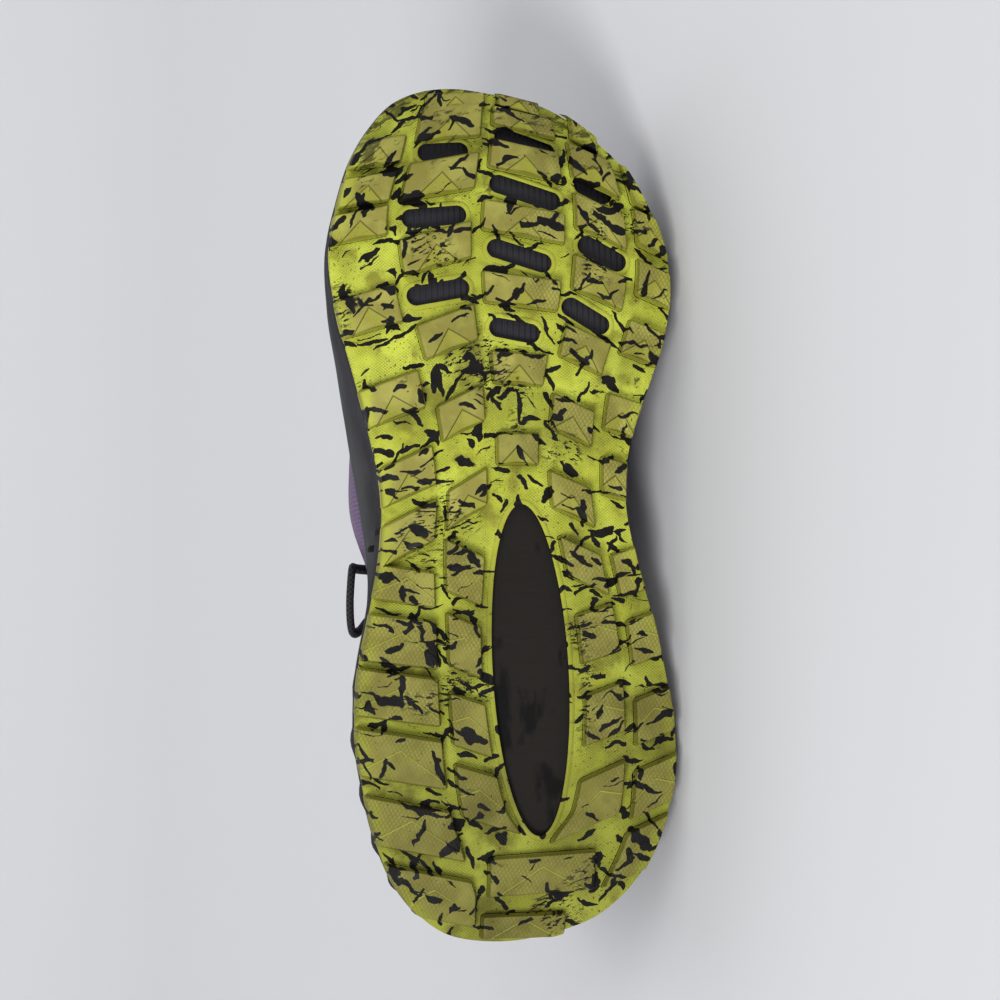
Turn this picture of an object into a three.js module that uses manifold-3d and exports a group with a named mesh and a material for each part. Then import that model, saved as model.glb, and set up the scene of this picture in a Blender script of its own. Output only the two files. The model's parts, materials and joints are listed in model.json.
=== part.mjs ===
// A left trail running shoe that lies on its outer side, in millimetres.
//
// Every piece is made as if the shoe stood on its sole: x runs from the heel to the toe, y to the
// outer side of the foot and z up from the ground. Two shapes carry all the others. outline() is the
// edge of the sole, run round by an angle that is 0 at the heel, a half turn at the toe and a whole
// turn back at the heel. skin() is the outside of the upper, over the same angle and a rise from 0 at
// the sole to 1 at the collar and throat. At the end the whole shoe is laid down on the floor.

import * as THREE from 'three';
import { mergeVertices } from 'three/addons/utils/BufferGeometryUtils.js';
import { ConvexHull } from 'three/addons/math/ConvexHull.js';
import Module from 'manifold-3d';

const wasm = await Module();
wasm.setup();

// Sizes of the sole
const LENGTH = 282;            // outsole, heel to toe
const BALL_WIDTH = 113;        // outsole across the ball of the foot
const WAIST_WIDTH = 81;        // outsole across the arch
const HEEL_WIDTH = 106;        // outsole across the heel
const SOLE_HEIGHT = 38;        // ground to the rim of the midsole, at the heel
const TOE_SPRING = 25;         // how far the tip of the sole stands off the ground
const HEEL_BEVEL = 9;          // how far the back of the sole stands off the ground
const ARCH_LIFT = 2.5;         // hollow under the inner arch
const EDGE_ROLL = 2.5;         // rise of the tread towards its edge
const TOE_ROLL = 7;            // the same at the outer forefoot, where the tread wraps up
const LUG_HEIGHT = 4.5;
const LUG_DRAFT = 0.9;         // how much narrower a lug is at its face, on each side
const RUBBER = 2.2;            // outsole between the lugs
const GROOVE = 2.4;            // width of the lengthwise grooves
const WINDOW_WIDTH = 6.6;      // small windows in the forefoot
const HEEL_WINDOW_WIDTH = 25;  // long window in the heel
const HEEL_WINDOW_LENGTH = 108;
const SOLE_FLARE = 12;         // how far the sole stands out past the upper at the heel
const RIM_OUT = 3.2;           // rim of the midsole outside the upper
const RIM_IN = 3.4;            // rim of the midsole inside the upper's face
const CUP_DEPTH = 8;           // rim down to the footbed
const INSOLE = 4.2;            // thickness of the insole

// Sizes of the upper
const WALL = 2.2;              // mesh and its lining
const COLLAR_PAD = 3.6;        // what the foam adds at the collar
const COLLAR_BACK = 66;        // collar above the rim, at the back
const ANKLE = 47;              // collar above the rim, under the ankle
const INSTEP = 66;             // top of the throat above the rim
const VAMP = 36;               // front of the throat above the rim
const OVERLAY = 1.1;           // toe cap, counter and eyestay
const EYESTAY = 17;            // width of the eyestay
const TONGUE = 4.6;            // padded tongue
const TONGUE_REACH = 30;       // tongue above the throat
const TONGUE_GAP = 0.7;
const LACE = 3.4;              // round lace
const KNOT = 8;                // half width of the bow's knot
const EYELET = 4.6;            // punched hole
const EYELETS = 5;             // on each side
const GAP = 0.3;               // between pieces that touch

// How finely the forms are cut
const STATIONS = 28;           // along one side of the outline
const SPANS = 4;               // across the sole
const LEVELS = 7;              // up the upper
const TRIM = 0.13;              // corners nearer to a straight line than this are left out

// Half widths of the sole from its axis, as shares of the width that each row names
const OUTLINE = [
  { at: 0.008, of: HEEL_WIDTH, inner: 0.145, outer: 0.154 },
  { at: 0.030, of: HEEL_WIDTH, inner: 0.235, outer: 0.309 },
  { at: 0.070, of: HEEL_WIDTH, inner: 0.324, outer: 0.423 },
  { at: 0.120, of: HEEL_WIDTH, inner: 0.383, outer: 0.497 },
  { at: 0.180, of: HEEL_WIDTH, inner: 0.423, outer: 0.543 },
  { at: 0.240, of: HEEL_WIDTH, inner: 0.448, outer: 0.551 },
  { at: 0.310, of: HEEL_WIDTH, inner: 0.444, outer: 0.522 },
  { at: 0.380, of: HEEL_WIDTH, inner: 0.410, outer: 0.478 },
  { at: 0.450, of: WAIST_WIDTH, inner: 0.494, outer: 0.555 },
  { at: 0.520, of: WAIST_WIDTH, inner: 0.490, outer: 0.510 },
  { at: 0.590, of: WAIST_WIDTH, inner: 0.543, outer: 0.534 },
  { at: 0.660, of: BALL_WIDTH, inner: 0.438, outer: 0.441 },
  { at: 0.730, of: BALL_WIDTH, inner: 0.487, outer: 0.487 },
  { at: 0.800, of: BALL_WIDTH, inner: 0.507, outer: 0.487 },
  { at: 0.860, of: BALL_WIDTH, inner: 0.478, outer: 0.435 },
  { at: 0.910, of: BALL_WIDTH, inner: 0.438, outer: 0.359 },
  { at: 0.950, of: BALL_WIDTH, inner: 0.380, outer: 0.252 },
  { at: 0.980, of: BALL_WIDTH, inner: 0.313, outer: 0.130 },
  { at: 0.995, of: BALL_WIDTH, inner: 0.232, outer: -0.029 },
];
const HEEL_TIP = 0.015;        // share of the heel width, towards the outer side
const TOE_TIP = -0.136;        // share of the ball width, towards the inner side

// The rim of the midsole, where the upper stands: its height as a share of SOLE_HEIGHT, and how far it
// is drawn in from the ground outline on the inner and outer side, as shares of SOLE_FLARE. Under the
// arch it stands out past the outline.
const RIM = [
  { at: 0.00, height: 1.07, inner: 0.72, outer: 0.72 },
  { at: 0.12, height: 1.00, inner: 1.00, outer: 1.00 },
  { at: 0.26, height: 0.97, inner: 0.96, outer: 0.96 },
  { at: 0.36, height: 0.95, inner: 0.62, outer: 0.70 },
  { at: 0.44, height: 0.93, inner: 0.12, outer: 0.30 },
  { at: 0.52, height: 0.92, inner: -0.22, outer: 0.02 },
  { at: 0.60, height: 0.90, inner: -0.14, outer: 0.06 },
  { at: 0.70, height: 0.86, inner: 0.12, outer: 0.30 },
  { at: 0.84, height: 0.91, inner: 0.44, outer: 0.48 },
  { at: 0.93, height: 1.03, inner: 0.52, outer: 0.52 },
  { at: 1.00, height: 1.17, inner: 0.56, outer: 0.56 },
];

// The side of the midsole from the tread to the rim: a lower bulge, a groove and an upper band
const SIDE = [
  { rise: 0.00, out: -1.4 },
  { rise: 0.12, out: -0.6 },
  { rise: 0.36, out: 0.2 },
  { rise: 0.46, out: -0.9 },
  { rise: 0.54, out: 0.5 },
  { rise: 0.86, out: 0.3 },
  { rise: 1.00, out: 0.0 },
];
const RIBS = [                 // slanted ribs on the lower bulge, each an angle round the outline
  { from: 0.35, to: 1.15, count: 5 },
  { from: 5.15, to: 5.95, count: 5 },
];
const RIB_OUT = 1.0;

// The upper, section by section: where a section that starts at the sole ends at the opening's edge,
// how far that edge is from the middle as a share of the ball width, its height as a share of the size
// named, and the curve between. rise and swell lead away from the sole, as shares of the height. over
// is a share of the run to the edge and under of the height.
const SECTIONS = [
  { at: 0.00, edge: 0.042, half: 0.000, of: COLLAR_BACK, height: 1.00, rise: 0.42, swell: 0.10, over: 0.50, under: 0.38 },
  { at: 0.04, edge: 0.050, half: 0.110, of: COLLAR_BACK, height: 0.98, rise: 0.42, swell: 0.09, over: 0.40, under: 0.38 },
  { at: 0.10, edge: 0.082, half: 0.205, of: COLLAR_BACK, height: 0.87, rise: 0.42, swell: 0.07, over: 0.30, under: 0.38 },
  { at: 0.18, edge: 0.140, half: 0.262, of: ANKLE, height: 1.05, rise: 0.44, swell: 0.05, over: 0.25, under: 0.36 },
  { at: 0.27, edge: 0.220, half: 0.280, of: ANKLE, height: 0.97, rise: 0.46, swell: 0.03, over: 0.22, under: 0.36 },
  { at: 0.35, edge: 0.300, half: 0.268, of: ANKLE, height: 1.10, rise: 0.46, swell: 0.03, over: 0.28, under: 0.34 },
  { at: 0.42, edge: 0.370, half: 0.226, of: INSTEP, height: 0.92, rise: 0.46, swell: 0.04, over: 0.36, under: 0.30 },
  { at: 0.48, edge: 0.425, half: 0.180, of: INSTEP, height: 1.00, rise: 0.46, swell: 0.05, over: 0.45, under: 0.24 },
  { at: 0.56, edge: 0.485, half: 0.160, of: INSTEP, height: 0.90, rise: 0.48, swell: 0.06, over: 0.50, under: 0.20 },
  { at: 0.64, edge: 0.545, half: 0.142, of: INSTEP, height: 0.78, rise: 0.52, swell: 0.07, over: 0.50, under: 0.16 },
  { at: 0.72, edge: 0.600, half: 0.122, of: VAMP, height: 1.22, rise: 0.58, swell: 0.07, over: 0.48, under: 0.12 },
  { at: 0.80, edge: 0.640, half: 0.098, of: VAMP, height: 1.10, rise: 0.64, swell: 0.06, over: 0.46, under: 0.08 },
  { at: 0.90, edge: 0.667, half: 0.062, of: VAMP, height: 1.03, rise: 0.66, swell: 0.05, over: 0.45, under: 0.05 },
  { at: 1.00, edge: 0.678, half: 0.000, of: VAMP, height: 1.00, rise: 0.66, swell: 0.04, over: 0.45, under: 0.03 },
];
const RIDGE_SHIFT = -0.035;    // the throat's front leans to the big toe, a share of the ball width
const ARCH_BULGE = { at: 0.505, half: 0.10, swell: 0.19 };  // the upper stands out over the inner arch

// Middle lines of the four lengthwise grooves, as shares of half the ball width. Round the heel window
// the two middle ones are the edges of its lip.
const GROOVES = [
  { at: 0.06, outerMedial: -0.10, innerMedial: 0.20, innerLateral: 0.23, outerLateral: 0.55 },
  { at: 0.12, outerMedial: -0.20, innerMedial: 0.18, innerLateral: 0.26, outerLateral: 0.68 },
  { at: 0.16, outerMedial: -0.26, innerMedial: 0.06, innerLateral: 0.39, outerLateral: 0.73 },
  { at: 0.26, outerMedial: -0.32, innerMedial: -0.05, innerLateral: 0.45, outerLateral: 0.745 },
  { at: 0.36, outerMedial: -0.345, innerMedial: -0.09, innerLateral: 0.41, outerLateral: 0.70 },
  { at: 0.45, outerMedial: -0.36, innerMedial: -0.07, innerLateral: 0.32, outerLateral: 0.60 },
  { at: 0.53, outerMedial: -0.35, innerMedial: -0.06, innerLateral: 0.24, outerLateral: 0.54 },
  { at: 0.64, outerMedial: -0.44, innerMedial: -0.09, innerLateral: 0.25, outerLateral: 0.57 },
  { at: 0.75, outerMedial: -0.59, innerMedial: -0.15, innerLateral: 0.35, outerLateral: 0.725 },
  { at: 0.84, outerMedial: -0.64, innerMedial: -0.155, innerLateral: 0.385, outerLateral: 0.735 },
  { at: 0.92, outerMedial: -0.54, innerMedial: -0.10, innerLateral: 0.36, outerLateral: 0.66 },
  { at: 1.00, outerMedial: -0.46, innerMedial: -0.06, innerLateral: 0.30, outerLateral: 0.56 },
];

// The lugs, column by column: the grooves on both sides, the slant of the cross grooves in degrees at
// the column's heel end and toe end, the middle of each lug along the sole and how long the lugs are,
// both as shares of the length
const EDGE = 'edge';
const LUGS = [
  { name: 'medial edge', from: EDGE, to: 'outerMedial', slant: [28, 17], long: 0.050,
    at: [0.475, 0.540, 0.628, 0.728] },
  { name: 'big toe edge', from: EDGE, to: 'outerMedial', slant: [12, 8], long: 0.038,
    at: [0.828, 0.870, 0.916] },
  { name: 'medial ball', from: 'outerMedial', to: 'innerMedial', slant: [32, 8], long: 0.047,
    at: [0.516, 0.613, 0.705, 0.802, 0.888, 0.955] },
  { name: 'centre', from: 'innerMedial', to: 'innerLateral', slant: [0, -12], long: 0.040,
    at: [0.573, 0.665, 0.754, 0.836, 0.910] },
  { name: 'centre toe', from: 'innerMedial', to: 'innerLateral', slant: [-13, -13], long: 0.028,
    at: [0.957] },
  { name: 'lateral ball', from: 'innerLateral', to: 'outerLateral', slant: [-24, -24], long: 0.045,
    at: [0.440, 0.517, 0.607, 0.688, 0.765, 0.838, 0.900] },
  { name: 'lateral edge', from: 'outerLateral', to: EDGE, slant: [-14, -26], long: 0.047,
    at: [0.540, 0.612, 0.696, 0.765, 0.826, 0.880] },
  { name: 'medial heel edge', from: EDGE, to: 'outerMedial', slant: [-12, -6], long: 0.058,
    at: [0.057, 0.138, 0.218, 0.288, 0.352] },
  { name: 'medial waist', from: EDGE, to: 'outerMedial', slant: [-8, -8], long: 0.044, at: [0.415] },
  { name: 'medial heel', from: 'outerMedial', to: 'innerMedial', slant: [-16, -24], long: 0.062,
    at: [0.174, 0.257, 0.347, 0.430] },
  { name: 'lateral heel', from: 'innerLateral', to: 'outerLateral', slant: [24, 18], long: 0.062,
    at: [0.174, 0.270, 0.362] },
  { name: 'lateral heel edge', from: 'outerLateral', to: EDGE, slant: [24, 18], long: 0.057,
    at: [0.112, 0.186, 0.268, 0.356, 0.432] },
];
// Lugs between two columns: the toe row and the two rows under the heel window
const CROSS_LUGS = [
  { name: 'toe tip', at: 0.982, long: 0.024, from: -0.44, to: -0.08, slant: 4 },
  { name: 'toe tip outer', at: 0.979, long: 0.022, from: -0.02, to: 0.24, slant: -16 },
  { name: 'outer toe', at: 0.945, long: 0.036, from: 0.40, to: 0.58, slant: -26 },
  { name: 'heel bar', at: 0.085, long: 0.050, from: -0.07, to: 0.56, slant: 4 },
  { name: 'heel tip', at: 0.022, long: 0.034, from: -0.10, to: 0.40, slant: 2 },
];

// The small windows: place along the sole, place across as a share of half the ball width, length as a
// share of the ball width, and slant in degrees
const WINDOWS = [
  { at: 0.918, across: -0.34, long: 0.150, slant: 4 },
  { at: 0.840, across: -0.40, long: 0.190, slant: 6 },
  { at: 0.752, across: -0.38, long: 0.185, slant: 11 },
  { at: 0.929, across: 0.14, long: 0.185, slant: -20 },
  { at: 0.871, across: 0.13, long: 0.215, slant: -18 },
  { at: 0.796, across: 0.09, long: 0.195, slant: -17 },
  { at: 0.709, across: 0.06, long: 0.150, slant: -10 },
  { at: 0.876, across: 0.53, long: 0.120, slant: -27 },
  { at: 0.800, across: 0.57, long: 0.155, slant: -29 },
  { at: 0.727, across: 0.47, long: 0.155, slant: -31 },
];
const HEEL_WINDOW = { at: 0.319, across: 0.17, slant: 93.7 };

const lerp = THREE.MathUtils.lerp;
const rad = THREE.MathUtils.degToRad;
const HALF_BALL = BALL_WIDTH / 2;

// A column of a table at a share of the length, eased between its rows
function column(rows, share, name) {
  const last = rows.length - 1;
  if (share <= rows[0].at) return rows[0][name];
  if (share >= rows[last].at) return rows[last][name];
  const i = rows.findIndex((row) => row.at > share) - 1;
  const [before, a, b, after] = [rows[Math.max(i - 1, 0)], rows[i], rows[i + 1], rows[Math.min(i + 2, last)]];
  const t = (share - a.at) / (b.at - a.at);
  const slope = (p, q) => (q[name] - p[name]) / (q.at - p.at || 1);
  const sa = slope(before, b) * (b.at - a.at);
  const sb = slope(a, after) * (b.at - a.at);
  const t2 = t * t;
  const t3 = t2 * t;
  return (2 * t3 - 3 * t2 + 1) * a[name] + (t3 - 2 * t2 + t) * sa
    + (3 * t2 - 2 * t3) * b[name] + (t3 - t2) * sb;
}

// The ground outline as a closed curve, and as two sides that run from the heel to the toe
function outlineCurve() {
  const side = (sign, key) => OUTLINE.map((row) =>
    new THREE.Vector3(row.at * LENGTH, sign * row[key] * row.of, 0));
  const heel = new THREE.Vector3(0, HEEL_TIP * HEEL_WIDTH, 0);
  const toe = new THREE.Vector3(LENGTH, TOE_TIP * BALL_WIDTH, 0);
  const ring = [heel, ...side(-1, 'inner'), toe, ...side(1, 'outer').reverse()];
  return new THREE.CatmullRomCurve3(ring, true, 'centripetal').getPoints(900).slice(0, -1);
}

const ring = outlineCurve();
const lowest = ring.reduce((best, p, i) => (p.x < ring[best].x ? i : best), 0);
const round = [...ring.slice(lowest), ...ring.slice(0, lowest)];
const toeIndex = round.reduce((best, p, i) => (p.x > round[best].x ? i : best), 0);
const innerSide = round.slice(0, toeIndex + 1);
const outerSide = [round[0], ...round.slice(toeIndex).reverse()];
const BACK = round[0].x;
const FRONT = round[toeIndex].x;

// The point of one side of the outline at a distance along the sole
function sidePoint(side, x) {
  let low = 0;
  let high = side.length - 1;
  while (high - low > 1) {
    const mid = (low + high) >> 1;
    if (side[mid].x <= x) low = mid;
    else high = mid;
  }
  const [a, b] = [side[low], side[high]];
  const t = THREE.MathUtils.clamp((x - a.x) / (b.x - a.x || 1), 0, 1);
  return new THREE.Vector3(x, lerp(a.y, b.y, t), 0);
}

// The outline at an angle, moved out sideways by a distance
function outline(angle, out = 0) {
  const point = (a) => {
    const turn = THREE.MathUtils.euclideanModulo(a, 2 * Math.PI);
    const x = BACK + (FRONT - BACK) * (1 - Math.cos(turn)) / 2;
    return sidePoint(turn <= Math.PI ? innerSide : outerSide, x);
  };
  const step = 0.06;
  const along = point(angle + step).sub(point(angle - step)).normalize();
  return point(angle).add(new THREE.Vector3(along.y, -along.x, 0).multiplyScalar(out));
}

const shareOf = (x) => (x - BACK) / (FRONT - BACK);
// A smooth hill that is 1 at 0 and 0 at -1 and 1
const hump = (t) => Math.max(0, Math.cos(THREE.MathUtils.clamp(t, -1, 1) * Math.PI / 2));
const angleOf = (share, side) => (side < 0 ? 1 : -1) * Math.acos(1 - 2 * share);
const outwards = (angle) => outline(angle, 1).sub(outline(angle, 0));

// How high the faces of the lugs are above the ground, with the toe spring, the bevel of the heel, the
// hollow of the arch and the rolled edges
function treadHeight(x, y) {
  const share = THREE.MathUtils.clamp(shareOf(x), 0, 1);
  const inner = sidePoint(innerSide, x).y;
  const outer = sidePoint(outerSide, x).y;
  const across = (2 * y - inner - outer) / Math.max(outer - inner, 1);
  const spring = TOE_SPRING * Math.max(0, (share - 0.68) / 0.32) ** 2;
  const bevel = HEEL_BEVEL * Math.max(0, (0.14 - share) / 0.14) ** 2;
  const arch = ARCH_LIFT * (0.6 - 0.4 * across) * THREE.MathUtils.smoothstep(share, 0.36, 0.46)
    * (1 - THREE.MathUtils.smoothstep(share, 0.54, 0.64));
  const fore = THREE.MathUtils.smoothstep(share, 0.68, 0.86) * (1 - THREE.MathUtils.smoothstep(share, 0.93, 1));
  const roll = across > 0 ? lerp(EDGE_ROLL, TOE_ROLL, fore) : EDGE_ROLL;
  const ends = Math.sin(Math.PI * THREE.MathUtils.clamp(share, 0, 1)) ** 0.5;
  const edge = THREE.MathUtils.clamp((Math.abs(across) - 0.6) / 0.4, 0, 1) ** 2;
  return spring + bevel + arch + roll * edge * ends;
}

const underside = (x, y) => treadHeight(x, y) + LUG_HEIGHT;
const rimHeight = (x) => column(RIM, shareOf(x), 'height') * SOLE_HEIGHT;
const isInner = (angle) => THREE.MathUtils.euclideanModulo(angle, 2 * Math.PI) <= Math.PI;
const rimInset = (x, angle) => column(RIM, shareOf(x), isInner(angle) ? 'inner' : 'outer') * SOLE_FLARE;
const footbed = (x) => rimHeight(x) - CUP_DEPTH;

// Faces are gathered as loose triangles, and become one mesh with shared corners
const triangle = (faces, a, b, c) => faces.push(a, b, c);
function quad(faces, a, b, c, d) {
  triangle(faces, a, b, c);
  triangle(faces, a, c, d);
}
function geometryOf(faces) {
  const geometry = new THREE.BufferGeometry().setFromPoints(faces);
  const merged = mergeVertices(geometry, 1e-4);
  merged.computeVertexNormals();
  return merged;
}

// A boolean solid from a mesh, and back
function solidOf(geometry) {
  const plain = geometry.index ? geometry.toNonIndexed() : geometry.clone();
  plain.deleteAttribute('normal');
  plain.deleteAttribute('uv');
  const merged = mergeVertices(plain, 1e-4);
  return new wasm.Manifold(new wasm.Mesh({
    numProp: 3,
    vertProperties: merged.attributes.position.array,
    triVerts: new Uint32Array(merged.index.array),
  }));
}
function meshOf(solid) {
  const { vertProperties, triVerts, numProp } = solid.simplify(TRIM).getMesh();
  const position = new Float32Array((vertProperties.length / numProp) * 3);
  for (let i = 0; i < position.length / 3; i++) {
    for (let axis = 0; axis < 3; axis++) position[3 * i + axis] = vertProperties[i * numProp + axis];
  }
  const geometry = new THREE.BufferGeometry();
  geometry.setAttribute('position', new THREE.BufferAttribute(position, 3));
  geometry.setIndex(new THREE.BufferAttribute(triVerts, 1));
  geometry.computeVertexNormals();
  return geometry;
}

// One closed ring round the sole, seen counter-clockwise from above
const RING = 2 * STATIONS;
const ringAngle = (k) => (k / RING) * 2 * Math.PI;
function ringOf(out, height) {
  return Array.from({ length: RING }, (_, k) => {
    const angle = ringAngle(k);
    const at = outline(angle);
    const p = outline(angle, typeof out === 'function' ? out(at.x, angle) : out);
    p.z = height(p.x, p.y, at.x, angle);
    return p;
  });
}

// The wall between two rings
function wall(faces, lower, upper) {
  for (let k = 0; k < RING; k++) {
    const next = (k + 1) % RING;
    quad(faces, lower[k], lower[next], upper[next], upper[k]);
  }
}

// A face across a ring, up or down, whose inner points take their height from a function
function cap(faces, edge, height, up) {
  const row = (i) => {
    if (i === 0 || i === STATIONS) return [edge[i]];
    const [a, b] = [edge[i], edge[RING - i]];
    return Array.from({ length: SPANS + 1 }, (_, j) => {
      if (j === 0) return a;
      if (j === SPANS) return b;
      const p = a.clone().lerp(b, j / SPANS);
      p.z = height(p.x, p.y);
      return p;
    });
  };
  const add = (a, b, c) => (up ? triangle(faces, a, b, c) : triangle(faces, a, c, b));
  for (let i = 0; i < STATIONS; i++) {
    const [here, next] = [row(i), row(i + 1)];
    for (let j = 0; j < SPANS; j++) {
      if (here.length > 1) add(here[j], next[Math.min(j, next.length - 1)], here[j + 1]);
      if (next.length > 1) add(next[j], next[j + 1], here[Math.min(j + 1, here.length - 1)]);
    }
  }
}

// A flat outline of corners pushed along z between two heights
function prism(corners, low, high) {
  const faces = [];
  const at = (p, height) => new THREE.Vector3(p.x, p.y, typeof height === 'function' ? height(p.x, p.y) : height);
  const bottom = corners.map((p) => at(p, low));
  const top = corners.map((p) => at(p, high));
  const n = corners.length;
  for (let i = 1; i < n - 1; i++) {
    triangle(faces, bottom[0], bottom[i + 1], bottom[i]);
    triangle(faces, top[0], top[i], top[i + 1]);
  }
  for (let i = 0; i < n; i++) quad(faces, bottom[i], bottom[(i + 1) % n], top[(i + 1) % n], top[i]);
  return solidOf(geometryOf(faces));
}

// A slot with round ends, or a pointed oval, as corners counter-clockwise from above
function slotCorners(long, wide, steps, pointed) {
  const corners = [];
  for (let i = 0; i < steps; i++) {
    const a = (i / steps) * 2 * Math.PI;
    const straight = pointed ? 0 : (long - wide) / 2;
    const reach = pointed ? long / 2 : wide / 2;
    corners.push(new THREE.Vector2(
      Math.cos(a) * reach + Math.sign(Math.round(Math.cos(a) * 1e6)) * straight, Math.sin(a) * (wide / 2)));
  }
  return corners;
}
// Seen from below the sole, with the toe up: slant turns a piece from straight across
function placed(corners, at, across, slant) {
  const turn = Math.PI / 2 + rad(slant);
  const centre = new THREE.Vector2(at * LENGTH, across * HALF_BALL);
  return corners.map((c) => c.clone().rotateAround(new THREE.Vector2(), -turn + Math.PI).add(centre));
}

// One lug: four corners on the ground between two lines, narrower at its face than at its root
function lug(lines, at, long, slant) {
  const middle = at * LENGTH;
  const half = (long * LENGTH) / 2;
  const acrossMiddle = (lines[0](middle) + lines[1](middle)) / 2;
  const corner = (line, end) => {
    let x = middle + end * half;
    for (let turn = 0; turn < 3; turn++) {
      const y = line(THREE.MathUtils.clamp(x, BACK + 1, FRONT - 1));
      x = middle + end * half - (y - acrossMiddle) * Math.tan(rad(-slant));
    }
    x = THREE.MathUtils.clamp(x, BACK + 1.5, FRONT - 1.5);
    return new THREE.Vector2(x, line(x));
  };
  const root = [corner(lines[0], -1), corner(lines[0], 1), corner(lines[1], 1), corner(lines[1], -1)];
  const centre = root.reduce((sum, p) => sum.add(p), new THREE.Vector2()).divideScalar(4);
  const face = root.map((p) => {
    const away = p.clone().sub(centre);
    return centre.clone().add(away.multiplyScalar(Math.max(0.4, 1 - (LUG_DRAFT * 1.4) / away.length())));
  });
  const faces = [];
  const low = face.map((p) => new THREE.Vector3(p.x, p.y, treadHeight(p.x, p.y)));
  const high = root.map((p) => new THREE.Vector3(p.x, p.y, underside(p.x, p.y) + RUBBER / 2));
  quad(faces, low[0], low[3], low[2], low[1]);
  quad(faces, high[0], high[1], high[2], high[3]);
  for (let i = 0; i < 4; i++) quad(faces, low[i], low[(i + 1) % 4], high[(i + 1) % 4], high[i]);
  return solidOf(geometryOf(faces));
}

// A lengthwise line for the side of a lug: a groove's edge, or the outline itself
function lugLine(name, side) {
  if (name === EDGE) {
    const edge = side < 0 ? innerSide : outerSide;
    return (x) => sidePoint(edge, x).y - side * 0.2;
  }
  return (x) => column(GROOVES, shareOf(x), name) * HALF_BALL - (side * GROOVE) / 2;
}

function outsole() {
  const faces = [];
  const lower = ringOf(0, (x, y) => underside(x, y));
  const upper = ringOf(-0.6, (x, y) => underside(x, y) + RUBBER);
  cap(faces, lower, underside, false);
  wall(faces, lower, upper);
  cap(faces, upper, (x, y) => underside(x, y) + RUBBER, true);
  const lugs = [];
  for (const row of LUGS) {
    const lines = [lugLine(row.from, -1), lugLine(row.to, 1)];
    const [first, last] = [row.at[0], row.at[row.at.length - 1]];
    for (const at of row.at) {
      const slant = lerp(row.slant[0], row.slant[1], (at - first) / (last - first || 1));
      lugs.push(lug(lines, at, row.long, slant));
    }
  }
  for (const row of CROSS_LUGS) {
    const lines = [() => row.from * HALF_BALL, () => row.to * HALF_BALL];
    lugs.push(lug(lines, row.at, row.long, row.slant));
  }
  const cuts = WINDOWS.map((row) => prism(
    placed(slotCorners(row.long * BALL_WIDTH, WINDOW_WIDTH, 10, false), row.at, row.across, row.slant),
    -5, SOLE_HEIGHT * 1.2));
  cuts.push(prism(
    placed(slotCorners(HEEL_WINDOW_LENGTH, HEEL_WINDOW_WIDTH, 28, true), HEEL_WINDOW.at, HEEL_WINDOW.across,
      HEEL_WINDOW.slant), -5, SOLE_HEIGHT));
  const limit = prism(ringOf(0.2, () => 0), -1, SOLE_HEIGHT);
  const pattern = lugs.reduce((sum, one) => sum.add(one)).intersect(limit);
  const whole = solidOf(geometryOf(faces)).add(pattern);
  return meshOf(cuts.reduce((sum, one) => sum.subtract(one), whole));
}

// How far the side of the midsole stands out at a rise, from the flare, the side's profile and its ribs
function sideOut(rise, x, angle) {
  const i = Math.max(0, SIDE.findIndex((row) => row.rise >= rise) - 1);
  const [a, b] = [SIDE[i], SIDE[i + 1]];
  const bulge = lerp(a.out, b.out, (rise - a.rise) / (b.rise - a.rise));
  const lean = lerp(0, RIM_OUT - rimInset(x, angle), THREE.MathUtils.smoothstep(rise, 0.15, 1));
  const turn = THREE.MathUtils.euclideanModulo(angle, 2 * Math.PI);
  const zone = RIBS.find((row) => turn >= row.from && turn <= row.to);
  const rib = zone && rise > 0.1 && rise < 0.4
    ? RIB_OUT * Math.max(0, Math.cos(((turn - zone.from) / (zone.to - zone.from)) * zone.count * 2 * Math.PI))
    : 0;
  return bulge + lean + rib;
}

function midsole() {
  const base = (x, y) => underside(x, y) + RUBBER + GAP;
  const rings = SIDE.map((row) => ringOf(
    (x, angle) => sideOut(row.rise, x, angle),
    (x, y, at) => {
      const edge = THREE.MathUtils.clamp(y, sidePoint(innerSide, at).y, sidePoint(outerSide, at).y);
      return lerp(base(at, edge), rimHeight(at), row.rise);
    }));
  const bed = (inset, depth) => ringOf(
    (x, angle) => -rimInset(x, angle) - inset,
    (x, y, at) => rimHeight(at) - depth);
  const faces = [];
  cap(faces, rings[0], base, false);
  for (let i = 0; i < rings.length - 1; i++) wall(faces, rings[i], rings[i + 1]);
  const lip = bed(RIM_IN, 0);
  const floor = bed(RIM_IN + 1.6, CUP_DEPTH);
  wall(faces, rings[rings.length - 1], lip);
  wall(faces, lip, floor);
  cap(faces, floor, (x) => footbed(x), true);
  return geometryOf(faces);
}

function insole() {
  const edge = (inset, height) => ringOf(
    (x, angle) => -rimInset(x, angle) - inset,
    (x, y, at) => footbed(at) + height);
  const faces = [];
  const lower = edge(RIM_IN + 1.6 + GAP, GAP);
  const upper = edge(RIM_IN + 1.2 + GAP, INSOLE + GAP);
  cap(faces, lower, (x) => footbed(x) + GAP, false);
  wall(faces, lower, upper);
  cap(faces, upper, (x) => footbed(x) + INSOLE + GAP, true);
  return geometryOf(faces);
}

// The middle of the opening at a distance along the sole
function middle(x) {
  const share = shareOf(x);
  const centre = (sidePoint(innerSide, x).y + sidePoint(outerSide, x).y) / 2;
  return centre + RIDGE_SHIFT * BALL_WIDTH * THREE.MathUtils.smoothstep(share, 0.3, 0.66);
}

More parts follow.
